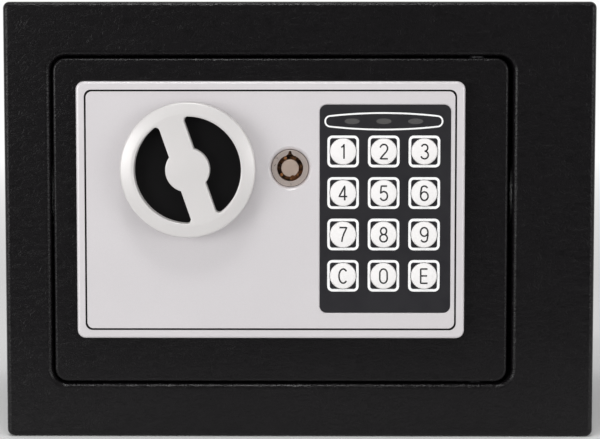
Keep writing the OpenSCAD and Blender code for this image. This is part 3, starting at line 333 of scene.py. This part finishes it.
def circuit_board(name, color):
    """Solder mask over faint copper tracks."""
    f = Finish(name, color, 0.32)
    tracks = f.node("ShaderNodeTexBrick")
    tracks.inputs["Scale"].default_value = 180
    tracks.inputs["Mortar Size"].default_value = 0.06
    f.link(f.place, tracks.inputs["Vector"])
    f.feed("Base Color", f.blend(tracks.outputs["Fac"], shade(color, 0.8), shade(color, 1.5)))
    f.bump(f.noise(700, detail=2), 0.02 * MM, 0.4)
    return f.material


def ribbon(name, color):
    """Flat cable: parallel cores under grey insulation."""
    f = Finish(name, color, 0.5)
    waves = f.node("ShaderNodeTexWave", bands_direction="X")
    waves.inputs["Scale"].default_value = 250
    f.link(f.place, waves.inputs["Vector"])
    f.feed("Base Color", f.blend(waves.outputs["Fac"], shade(color, 0.6), shade(color, 1.1)))
    f.bump(waves.outputs["Fac"], 0.1 * MM, 0.8)
    return f.material


def winding(name, color):
    """Enamelled wire wound in rings up the coil."""
    f = Finish(name, color, 0.3, metallic=0.9)
    rings = f.node("ShaderNodeTexWave", bands_direction="Z")
    rings.inputs["Scale"].default_value = 700
    f.link(f.place, rings.inputs["Vector"])
    f.feed("Base Color", f.blend(rings.outputs["Fac"], shade(color, 0.35), shade(color, 1.2)))
    f.bump(rings.outputs["Fac"], 0.15 * MM, 0.9)
    return f.material


def battery(name, color):
    """Plain cell sleeve, with bare steel at both ends."""
    f = Finish(name, color, 0.3)
    low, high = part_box("batteries")
    sleeve_half = (high.x - low.x) / 2 - CELL_BARE
    out = f.math("SUBTRACT", f.axis("X"), (low.x + high.x) / 2)
    bare = f.math("GREATER_THAN", f.math("ABSOLUTE", out), sleeve_half)
    band = f.math("GREATER_THAN", out, sleeve_half * CELL_BAND)
    sleeve = f.blend(band, color, shade(color, 0.35))
    f.feed("Base Color", f.blend(bare, sleeve, srgb(205, 205, 208)))
    f.feed("Metallic", bare)
    f.bump(f.noise(500), 0.02 * MM, 0.4)
    return f.material


def worn_nickel_shaded_keyway(name, plate, face, bronze, centre):
    """Worn nickel plate, warmer on the middle post; down in the keyway, bronze blotches on a colour
    that goes nearly black with depth: painted shade.
    """
    f = Finish(name, plate, 0.3, metallic=0.5)
    offset = f.node("ShaderNodeVectorMath", operation="SUBTRACT")
    f.link(f.place, offset.inputs[0])
    offset.inputs[1].default_value = centre
    split = f.node("ShaderNodeSeparateXYZ")
    f.link(offset.outputs["Vector"], split.inputs["Vector"])
    flat = f.node("ShaderNodeVectorMath", operation="MULTIPLY")
    f.link(offset.outputs["Vector"], flat.inputs[0])
    flat.inputs[1].default_value = (1, 0, 1)
    length = f.node("ShaderNodeVectorMath", operation="LENGTH")
    f.link(flat.outputs["Vector"], length.inputs[0])
    post = f.remap(length.outputs["Value"], POST_R, POST_R + POST_EDGE, 1, 0)
    # Painted shade: past a set depth behind the lock's face the colour goes nearly black.
    deep_shade = f.remap(split.outputs["Y"], KEYWAY_SHADE_START, KEYWAY_SHADE_FULL)
    blotch = f.noise(330, detail=4)
    clean = f.blend(post, plate, face)
    clean = f.blend(f.remap(blotch, 0.3, 0.6, 0.75), shade(plate, 0.75), clean)
    # Keyway colour: bronze blotches on nearly black painted shade.
    grime_and_shade = f.blend(f.remap(blotch, 0.4, 0.62), shade(bronze, 0.08), bronze)
    f.feed("Base Color", f.blend(deep_shade, clean, grime_and_shade))
    f.feed("Roughness", f.remap(blotch, 0.25, 0.75, 0.24, 0.4))
    f.bump(f.noise(1600, detail=3), 0.01 * MM, 0.5)
    return f.material


def make_finishes():
    """One material for each material slot of the record."""
    black = srgb(15, 13, 15)
    low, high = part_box("lock_housing")
    lock_middle = ((low.x + high.x) / 2, low.y, (low.z + high.z) / 2)
    return {
        "case_paint": wrinkle_paint("wrinkle_black", black),
        "inner_paint": satin_paint("satin_black", srgb(40, 40, 43), 0.48),
        "felt": felt("grey_felt", srgb(74, 76, 82)),
        "black_plastic": moulded_plastic("moulded_black", srgb(34, 34, 36), 0.5),
        "zinc_steel": plated_steel("zinc_plate", srgb(198, 200, 204), 0.34),
        "bolt_steel": plated_steel("turned_steel", srgb(212, 213, 215), 0.2, lay=(6, 1, 1)),
        "bush_brass": plated_steel("brass", srgb(206, 174, 118), 0.3),
        "panel_silver": satin_paint("panel_silver", srgb(219, 215, 217), 0.33, 0.15, 0.3),
        "overlay_dark": moulded_plastic("overlay_film", srgb(36, 35, 39), 0.36, grain=3200,
                                        depth=0.008 * MM),
        "lens_grey": moulded_plastic("smoked_lens", srgb(80, 79, 79), 0.22, grain=900,
                                     depth=0.01 * MM),
        "board_green": circuit_board("solder_mask", srgb(28, 104, 66)),
        "ribbon_grey": ribbon("ribbon_cable", srgb(176, 178, 182)),
        "lead_red": moulded_plastic("red_plastic", srgb(176, 40, 36), 0.35, grain=1200,
                                    depth=0.01 * MM),
        "lock_nickel": worn_nickel_shaded_keyway("worn_nickel_shaded_keyway", srgb(192, 179, 172), srgb(204, 183, 168),
                                   srgb(190, 130, 80), lock_middle),
        "coil_copper": winding("copper_winding", srgb(176, 96, 52)),
        "battery_sleeve": battery("cell_sleeve", srgb(52, 92, 150)),
        "knob_silver": satin_paint("knob_silver", srgb(218, 215, 214), 0.34, 0.15, 0.2),
        "knob_black": moulded_plastic("insert_black", srgb(11, 10, 11), 0.6, grain=1500,
                                      depth=0.04 * MM, specular=0.15),
        "key_white": satin_paint("key_white", srgb(236, 234, 233), 0.5),
    }


# ---- Meshes -----------------------------------------------------------------------------

def add_object(name, mesh, material):
    mesh.materials.append(material)
    made = bpy.data.objects.new(name, mesh)
    bpy.context.scene.collection.objects.link(made)
    return made


def add_piece(name, solid, material, body, slot, smooth_angle=None):
    """Object from a Solid, riding on body; edges flatter than smooth_angle are smooth."""
    mesh = bpy.data.meshes.new(name)
    mesh.from_pydata([tuple(v) for v in solid.verts], [], solid.faces)
    work = bmesh.new()
    work.from_mesh(mesh)
    bmesh.ops.recalc_face_normals(work, faces=work.faces)
    if smooth_angle is not None:
        for face in work.faces:
            face.smooth = True
        for edge in work.edges:
            edge.smooth = edge.calc_face_angle(0) < smooth_angle
    work.to_mesh(mesh)
    work.free()
    piece = add_object(name, mesh, material)
    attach(piece, body)
    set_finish(piece, slot)
    return piece


class Solid:
    """Vertices and faces of one closed piece, joined from several bits."""

    def __init__(self):
        self.verts = []
        self.faces = []

    def loop(self, points):
        start = len(self.verts)
        self.verts += points
        return list(range(start, start + len(points)))

    def bridge(self, first, second):
        count = len(first)
        for i in range(count):
            j = (i + 1) % count
            self.faces.append((first[i], first[j], second[j], second[i]))

    def cap(self, outer, holes=()):
        """Flat face inside outer, round the holes."""
        rings = [outer, *holes]
        flat = [[Vector((self.verts[i][0], self.verts[i][2], 0)) for i in ring] for ring in rings]
        index = [i for ring in rings for i in ring]
        self.faces += [tuple(index[i] for i in face) for face in tessellate_polygon(flat)]

    def plate(self, outer, holes, front, back):
        """Flat plate from front to back in Y; outlines are lists of (x, z)."""
        fronts = [self.loop([(x, front, z) for x, z in ring]) for ring in (outer, *holes)]
        backs = [self.loop([(x, back, z) for x, z in ring]) for ring in (outer, *holes)]
        for ring in (fronts, backs):
            self.cap(ring[0], ring[1:])
        for front_ring, back_ring in zip(fronts, backs):
            self.bridge(front_ring, back_ring)


def arc(cx, cz, radius, start, end, steps, radius_z=None):
    """Points (x, z) on an arc; angles in degrees, from +X towards +Z."""
    rz = radius if radius_z is None else radius_z
    turns = [math.radians(start + (end - start) * i / steps) for i in range(steps + 1)]
    return [(cx + radius * math.cos(t), cz + rz * math.sin(t)) for t in turns]


def rounded_outline(cx, cz, width, height, corner, steps=8):
    points = []
    for quarter, (sx, sz) in enumerate(((1, 1), (-1, 1), (-1, -1), (1, -1))):
        points += arc(cx + sx * (width / 2 - corner), cz + sz * (height / 2 - corner), corner,
                      90 * quarter, 90 * quarter + 90, steps)
    return points


def middle(node):
    low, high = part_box(node)
    return (low + high) / 2


# ---- Front panel and keypad -------------------------------------------------------------

def add_pinstripe():
    """Black inlay in the groove round the panel."""
    low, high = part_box("front_panel")
    centre = (low + high) / 2
    width = high.x - low.x - 2 * RIM_W
    height = high.z - low.z - 2 * RIM_W
    floor = low.y + GROOVE_FLOOR
    solid = Solid()
    outer = rounded_outline(centre.x, centre.z, width, height, GROOVE_CORNER)
    inner = rounded_outline(centre.x, centre.z, width - 2 * GROOVE_W, height - 2 * GROOVE_W,
                            GROOVE_CORNER - GROOVE_W / 2)
    solid.plate(outer, [inner], floor - INLAY_T, floor)
    ink = moulded_plastic("pinstripe_black", srgb(8, 8, 8), 0.5, depth=0.005 * MM, specular=0.2)
    add_piece("pinstripe", solid, ink, "door", "overlay_dark")


def edge_reach(turn, half_w, half_h, corner):
    """Distance from the middle to a rounded rectangle's edge, in the direction turn."""
    c, s = abs(math.cos(turn)), abs(math.sin(turn))
    reach = min(half_w / c if c else math.inf, half_h / s if s else math.inf)
    a, b = half_w - corner, half_h - corner
    if reach * c > a and reach * s > b:
        along = a * c + b * s
        reach = along + math.sqrt(along * along - a * a - b * b + corner * corner)
    return reach


def add_key_frames(white):
    """Printed white square round each key."""
    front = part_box("keypad_overlay")[0].y
    low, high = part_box("key_1")
    hole = (high.x - low.x) / 2 - KEY_FLANGE + KEY_HOLE_GAP
    half_w, half_h = FRAME_W / 2, FRAME_H / 2
    solid = Solid()
    steps = 96
    turns = [2 * math.pi * (i + 0.5) / steps for i in range(steps)]
    for key in KEYS:
        centre = middle(key)
        outer = []
        inner = []
        for turn in turns:
            out = edge_reach(turn, half_w, half_h, FRAME_CORNER)
            inside = edge_reach(turn, half_w - FRAME_LINE, half_h - FRAME_LINE,
                                FRAME_CORNER - FRAME_LINE)
            inside = max(inside, hole)
            for ring, reach in ((outer, out), (inner, inside)):
                ring.append((centre.x + reach * math.cos(turn), centre.z + reach * math.sin(turn)))
        fronts = [solid.loop([(x, front - INK_T, z) for x, z in ring]) for ring in (outer, inner)]
        backs = [solid.loop([(x, front, z) for x, z in ring]) for ring in (outer, inner)]
        solid.bridge(fronts[0], fronts[1])
        solid.bridge(backs[0], backs[1])
        solid.bridge(fronts[0], backs[0])
        solid.bridge(fronts[1], backs[1])
    add_piece("key_frames", solid, white, "door", "key_white")


def barrel_outline(cx, cz, width, mid_h, end_h, steps=24):
    """Long outline with bulging top and bottom and round ends."""
    end_r = end_h / 2
    span = width - 2 * end_r
    rise = (mid_h - end_h) / 2
    bulge_r = (span * span / 4 + rise * rise) / (2 * rise)
    lean = math.degrees(math.asin(span / 2 / bulge_r))
    top = arc(cx, cz + mid_h / 2 - bulge_r, bulge_r, 90 - lean, 90 + lean, steps)
    left = arc(cx - span / 2, cz, end_r, 90, 270, steps // 2)[1:-1]
    bottom = arc(cx, cz - mid_h / 2 + bulge_r, bulge_r, 270 - lean, 270 + lean, steps)
    right = arc(cx + span / 2, cz, end_r, -90, 90, steps // 2)[1:-1]
    return top + left + bottom + right


def add_indicator_print(dark, white):
    """White outline round the indicators, and the dark film with three oval windows in it."""
    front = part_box("keypad_overlay")[0].y
    centre = middle("indicator_lenses")
    low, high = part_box("indicator_lenses")
    outline_x = middle("keypad_overlay").x - OUTLINE_SHIFT
    outer = barrel_outline(outline_x, centre.z, OUTLINE_W, OUTLINE_MID_H, OUTLINE_END_H)
    line = 2 * OUTLINE_LINE
    inner = barrel_outline(outline_x, centre.z, OUTLINE_W - line, OUTLINE_MID_H - line,
                           OUTLINE_END_H - line)
    solid = Solid()
    solid.plate(outer, [inner], front - INK_T, front)
    add_piece("indicator_outline", solid, white, "door", "key_white")
    pitch = (high.x - low.x - LENS_W) / 2
    windows = [arc(centre.x + i * pitch, centre.z, WINDOW_W / 2, 0, 350, 35, WINDOW_H / 2)
               for i in (-1, 0, 1)]
    film = Solid()
    film.plate(inner, windows, front - INK_T, front)
    add_piece("indicator_film", film, dark, "door", "overlay_dark")


def glyph_strokes():
    """Thin sans characters as strokes in a box one unit high; x is centred on 0."""
    bowl = 0.27
    return {
        "0": [arc(0, 0.68, bowl, 0, 180, 14, 0.32) + arc(0, 0.32, bowl, 180, 360, 14, 0.32)
              + [(bowl, 0.68)]],
        "1": [[(-0.15, 0.80), (-0.02, 0.86), (0.06, 1.0), (0.06, 0.0)]],
        "2": [arc(0, 0.73, bowl, 170, -30, 14, 0.27) + [(0.16, 0.48), (-0.10, 0.20),
                                                       (-0.26, 0.0), (0.29, 0.0)]],
        "3": [arc(0, 0.765, 0.23, 160, -70, 14, 0.235) + [(0.0, 0.53)],
              [(0.0, 0.53)] + arc(0, 0.265, bowl, 80, -160, 16, 0.265)],
        "4": [[(0.12, 0.0), (0.12, 1.0), (-0.29, 0.27), (0.30, 0.27)]],
        "5": [[(0.24, 1.0), (-0.18, 1.0), (-0.23, 0.50)]
              + arc(0, 0.31, bowl, 125, -155, 18, 0.31)],
        "6": [[(0.22, 0.86)] + arc(0.0, 0.78, 0.24, 50, 150, 8, 0.22)
              + [(-0.27, 0.55), (-bowl, 0.30)] + arc(0, 0.30, bowl, 180, 520, 26, 0.30)],
        "7": [[(-0.26, 1.0), (0.27, 1.0), (0.08, 0.62), (-0.04, 0.30), (-0.09, 0.0)]],
        "8": [arc(0, 0.76, 0.22, -90, 270, 24, 0.24), arc(0, 0.26, bowl, 90, 450, 24, 0.26)],
        "9": [[(-0.22, 0.14)] + arc(0.0, 0.22, 0.24, 230, 330, 8, 0.22)
              + [(0.27, 0.45), (bowl, 0.70)] + arc(0, 0.70, bowl, 0, 340, 26, 0.30)],
        "C": [arc(0.02, 0.5, 0.31, 42, 318, 26, 0.5)],
        "E": [[(0.26, 1.0), (-0.24, 1.0), (-0.24, 0.0), (0.27, 0.0)],
              [(-0.24, 0.52), (0.23, 0.52)]],
    }


def resample(points, step):
    """The polyline with extra points, so that no stretch is longer than step."""
    dense = [points[0]]
    for (x0, z0), (x1, z1) in zip(points, points[1:]):
        parts = max(1, math.ceil(math.hypot(x1 - x0, z1 - z0) / step))
        dense += [(x0 + (x1 - x0) * i / parts, z0 + (z1 - z0) * i / parts)
                  for i in range(1, parts + 1)]
    return dense


def add_stroke(solid, points, width, surface_y):
    """Ribbon of ink along the points; surface_y gives the face that it lies on."""
    sides = []
    for i, (x, z) in enumerate(points):
        before = points[max(i - 1, 0)]
        after = points[min(i + 1, len(points) - 1)]
        dx, dz = after[0] - before[0], after[1] - before[1]
        length = math.hypot(dx, dz) or 1.0
        nx, nz = -dz / length * width / 2, dx / length * width / 2
        edges = ((x + nx, z + nz), (x - nx, z - nz))
        front = [(ex, surface_y(ex, ez) - INK_T, ez) for ex, ez in edges]
        back = [(ex, surface_y(ex, ez) + INK_T, ez) for ex, ez in reversed(edges)]
        sides.append(solid.loop(front + back))
    for first, second in zip(sides, sides[1:]):
        solid.bridge(first, second)
    solid.faces.append(tuple(reversed(sides[0])))
    solid.faces.append(tuple(sides[-1]))


def add_digits(ink):
    """Each key's character, laid on its domed face."""
    strokes = glyph_strokes()
    for key, character in KEYS.items():
        node = frame["nodes"][key]
        tree = BVHTree.FromPolygons([v.co for v in node.data.vertices],
                                    [tuple(p.vertices) for p in node.data.polygons])
        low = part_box(key)[0]
        centre = middle(key)

        def surface_y(x, z):
            hit = tree.ray_cast(Vector((x, low.y - 1 * MM, z)), Vector((0, 1, 0)))[0]
            return hit.y

        solid = Solid()
        for line in strokes[character]:
            placed = [(centre.x + x * DIGIT_W, centre.z + (z - 0.5) * DIGIT_H) for x, z in line]
            add_stroke(solid, resample(placed, DIGIT_STEP), DIGIT_LINE, surface_y)
        add_piece("legend_" + key, solid, ink, key, "overlay_dark")


# ---- Knob -------------------------------------------------------------------------------

def pocket_outline(side, grow):
    """Finger pocket beside the bar, as (u, v) with the bar along v; grow moves its edge out."""
    outer = POCKET_R + grow
    bar = BAR_HALF - grow
    hub = HUB_R - grow
    corner = POCKET_CORNER + grow
    u = BAR_HALF + POCKET_CORNER
    v = math.sqrt((POCKET_R - POCKET_CORNER) ** 2 - u * u)
    lean = math.degrees(math.atan2(v, u))
    hub_lean = math.degrees(math.acos(bar / hub))
    points = arc(0, 0, outer, -lean, lean, 40)
    points += arc(u, v, corner, lean, 180, 10)[1:]
    points += arc(0, 0, hub, hub_lean, -hub_lean, 24)
    points += arc(u, -v, corner, 180, 360 - lean, 10)[:-1]
    return [(side * x, side * z) for x, z in points]


def add_knob(finish):
    """Knob whose ring falls away to its edge, with rounded lips round the finger pockets."""
    low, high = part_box("knob")
    centre = (low + high) / 2
    radius = (high.x - low.x) / 2
    front, back = low.y, high.y
    insert_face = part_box("knob_insert")[0].y
    flat_r = POCKET_R + RING_LIP
    rim_r = radius - RING_EDGE
    slope = RING_FALL / (rim_r - flat_r)
    steps = 128
    edge_steps = 8
    lip_steps = 5

    def ring(r, y):
        return solid.loop([(centre.x + r * math.cos(2 * math.pi * i / steps), y,
                            centre.z + r * math.sin(2 * math.pi * i / steps))
                           for i in range(steps)])

    def placed(outline, y):
        c, s = math.cos(BAR_TILT), math.sin(BAR_TILT)
        return solid.loop([(centre.x + u * c - v * s, y, centre.z + u * s + v * c)
                           for u, v in outline])

    solid = Solid()
    flat_edge = ring(flat_r, front)
    loops = [flat_edge, ring(flat_r + RING_BAND, front),
             ring(flat_r + RING_BAND + RING_BLEND, front + slope * RING_BLEND / 2)]
    lean = math.atan(slope)
    for i in range(edge_steps + 1):
        turn = lean + (math.pi / 2 - lean) * i / edge_steps
        loops.append(ring(rim_r + RING_EDGE * math.sin(turn),
                          front + RING_FALL + RING_EDGE * (1 - math.cos(turn))))
    loops.append(ring(radius, back - KNOB_BACK_EDGE))
    loops.append(ring(radius - KNOB_BACK_EDGE, back))
    for first, second in zip(loops, loops[1:]):
        solid.bridge(first, second)
    solid.cap(loops[-1])
    lips = []
    for side in (1, -1):
        wall = []
        for i in range(lip_steps + 1):
            turn = math.pi / 2 * i / lip_steps
            wall.append(placed(pocket_outline(side, POCKET_LIP * (1 - math.sin(turn))),
                               front + POCKET_LIP * (1 - math.cos(turn))))
        wall.append(placed(pocket_outline(side, 0), insert_face + POCKET_SINK))
        for first, second in zip(wall, wall[1:]):
            solid.bridge(first, second)
        solid.cap(wall[-1])
        lips.append(wall[0])
    solid.cap(flat_edge, lips)
    knob = add_piece("turn_knob", solid, finish, "knob", "knob_silver",
                     smooth_angle=math.radians(38))
    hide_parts("knob")


# ---- Inside -----------------------------------------------------------------------------

def mat_sheet(low, high):
    """Flat grid of the mat's outline, with a round hole over each floor anchor."""
    nx = round((high.x - low.x) / MAT_STEP)
    ny = round((high.y - low.y) / MAT_STEP)
    work = bmesh.new()
    grid = {}
    for i in range(nx + 1):
        for j in range(ny + 1):
            x = low.x + (high.x - low.x) * i / nx
            y = low.y + (high.y - low.y) * j / ny
            grid[i, j] = work.verts.new((x, y, low.z))
    for i in range(nx):
        for j in range(ny):
            work.faces.new((grid[i, j], grid[i + 1, j], grid[i + 1, j + 1], grid[i, j + 1]))
    for hole in (Vector((-ANCHOR_X, 0)), Vector((ANCHOR_X, 0))):
        near = [f for f in work.faces
                if (f.calc_center_median().xy - hole).length < MAT_HOLE_R - 0.2 * MAT_STEP]
        bmesh.ops.delete(work, geom=near, context="FACES")
        rim = [v for v in work.verts if v.is_boundary and (v.co.xy - hole).length < 2 * MAT_HOLE_R]
        for vert in rim:
            vert.co.xy = hole + (vert.co.xy - hole).normalized() * MAT_HOLE_R
    return work


def add_felt_mat(finish):
    """Felt mat with soft edges, laid on the case floor round the two anchor holes."""
    low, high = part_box("floor_mat")
    rng = random.Random(7)
    work = mat_sheet(low, high)
    shell = bmesh.ops.extrude_face_region(work, geom=list(work.faces))
    top = [v for v in shell["geom"] if isinstance(v, bmesh.types.BMVert)]
    for vert in top:
        edge = any(e.is_boundary or e.calc_face_angle(0) > 0.5 for e in vert.link_edges)
        sag = MAT_EDGE_SAG if edge else MAT_SAG
        vert.co.z = high.z - (high.z - low.z) * (sag + MAT_SAG_CHANGE * rng.random())
    bmesh.ops.recalc_face_normals(work, faces=work.faces)
    for face in work.faces:
        face.smooth = True
    mesh = bpy.data.meshes.new("felt_mat")
    work.to_mesh(mesh)
    work.free()
    mat = add_object("felt_mat", mesh, finish)
    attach(mat, "case")
    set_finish(mat, "felt")
    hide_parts("floor_mat")


# ---- Stage ------------------------------------------------------------------------------

def add_camera():
    data = bpy.data.cameras.new("camera")
    data.sensor_width = CAMERA_SENSOR
    data.lens = CAMERA_LENS
    camera = bpy.data.objects.new("camera", data)
    camera.location = CAMERA_AT
    camera.rotation_euler = (CAMERA_AIM - CAMERA_AT).to_track_quat("-Z", "Y").to_euler()
    bpy.context.scene.collection.objects.link(camera)
    bpy.context.scene.camera = camera


def add_softbox(name, at, aim, width, height, watts):
    data = bpy.data.lights.new(name, "AREA")
    data.shape = "RECTANGLE"
    data.size, data.size_y = width, height
    data.energy = watts
    lamp = bpy.data.objects.new(name, data)
    lamp.location = at
    lamp.rotation_euler = (Vector(aim) - Vector(at)).to_track_quat("-Z", "Y").to_euler()
    bpy.context.scene.collection.objects.link(lamp)


def seen_directly(graph, path):
    """1 for rays from the camera, straight or through something clear."""
    return graph.math("MAXIMUM", path.outputs["Is Camera Ray"],
                      path.outputs["Is Transmission Ray"])


def add_world():
    """White background, also in reflections, and a plain ambient light on the object.

    In reflections the side that the photographer stands on falls to a dark studio.
    """
    world = bpy.data.worlds.new("studio")
    bpy.context.scene.world = world
    world.use_nodes = True
    g = Graph(world.node_tree, "Generated")
    path = g.node("ShaderNodeLightPath")
    mirrored = g.remap(g.axis("Y"), -STUDIO_EDGE, STUDIO_EDGE, STUDIO_DARK, 1.0)
    level = g.mix("FLOAT", path.outputs["Is Glossy Ray"], AMBIENT, mirrored)
    level = g.mix("FLOAT", seen_directly(g, path), level, 1.0)
    background = g.tree.nodes["Background"]
    g.put(background.inputs["Strength"], level)
    g.put(background.inputs["Color"], (1, 1, 1))


def floor_finish():
    """Pale floor that fades to white away from the safe, and in reflections to the dark front."""
    f = Finish("pale_floor", srgb(246, 246, 246), 0.9, specular=0.1)
    distance = f.node("ShaderNodeVectorMath", operation="LENGTH")
    f.link(f.place, distance.inputs[0])
    away = f.remap(distance.outputs["Value"], FLOOR_PALE_R, FLOOR_WHITE_R)
    path = f.node("ShaderNodeLightPath")
    mirrored = path.outputs["Is Glossy Ray"]
    front = f.remap(f.axis("Y"), FLOOR_DARK_Y, FLOOR_LIGHT_Y, 1, 0)
    dark = f.math("MULTIPLY", mirrored, front)
    seen = f.math("MAXIMUM", seen_directly(f, path), mirrored)
    white = f.node("ShaderNodeEmission")
    shader = f.node("ShaderNodeMixShader")
    f.link(f.math("MULTIPLY", away, f.math("SUBTRACT", seen, dark)), shader.inputs[0])
    f.link(f.surface.outputs[0], shader.inputs[1])
    f.link(white.outputs[0], shader.inputs[2])
    output = [n for n in f.tree.nodes if n.type == "OUTPUT_MATERIAL"][0]
    f.link(shader.outputs[0], output.inputs["Surface"])
    pale = f.blend(f.noise(3), srgb(240, 240, 240), srgb(246, 246, 246))
    f.feed("Base Color", f.blend(dark, pale, srgb(108, 108, 110)))
    return f.material


def add_floor():
    work = bmesh.new()
    bmesh.ops.create_circle(work, cap_ends=True, segments=96, radius=FLOOR_R)
    mesh = bpy.data.meshes.new("floor")
    work.to_mesh(mesh)
    work.free()
    floor = add_object("floor", mesh, floor_finish())
    floor.location.z = -FLOOR_DROP


# ---- The scene --------------------------------------------------------------------------

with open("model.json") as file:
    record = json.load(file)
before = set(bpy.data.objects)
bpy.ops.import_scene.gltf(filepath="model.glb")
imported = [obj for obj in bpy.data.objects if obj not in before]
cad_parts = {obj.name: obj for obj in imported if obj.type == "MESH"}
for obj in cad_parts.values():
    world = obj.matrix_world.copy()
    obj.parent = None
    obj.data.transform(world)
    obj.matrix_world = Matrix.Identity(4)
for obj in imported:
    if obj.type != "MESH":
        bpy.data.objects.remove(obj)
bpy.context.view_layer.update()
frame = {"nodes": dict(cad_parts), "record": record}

bpy.context.scene.view_settings.view_transform = "Standard"
add_camera()
add_world()
for lamp in LAMPS:
    add_softbox(*lamp)
add_floor()

finishes = make_finishes()
for row in frame["record"]["subparts"]:
    node = frame["nodes"][row["node"]]
    node.data.materials.clear()
    node.data.materials.append(finishes[row["material_slot"]])
    node["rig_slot"] = row["material_slot"]

white_ink = satin_paint("white_ink", srgb(243, 243, 243), 0.5)
legend_ink = moulded_plastic("legend_ink", srgb(28, 28, 30), 0.5, depth=0.004 * MM)
add_pinstripe()
add_key_frames(white_ink)
add_indicator_print(finishes["overlay_dark"], white_ink)
add_digits(legend_ink)
add_knob(finishes["knob_silver"])
add_felt_mat(finishes["felt"])
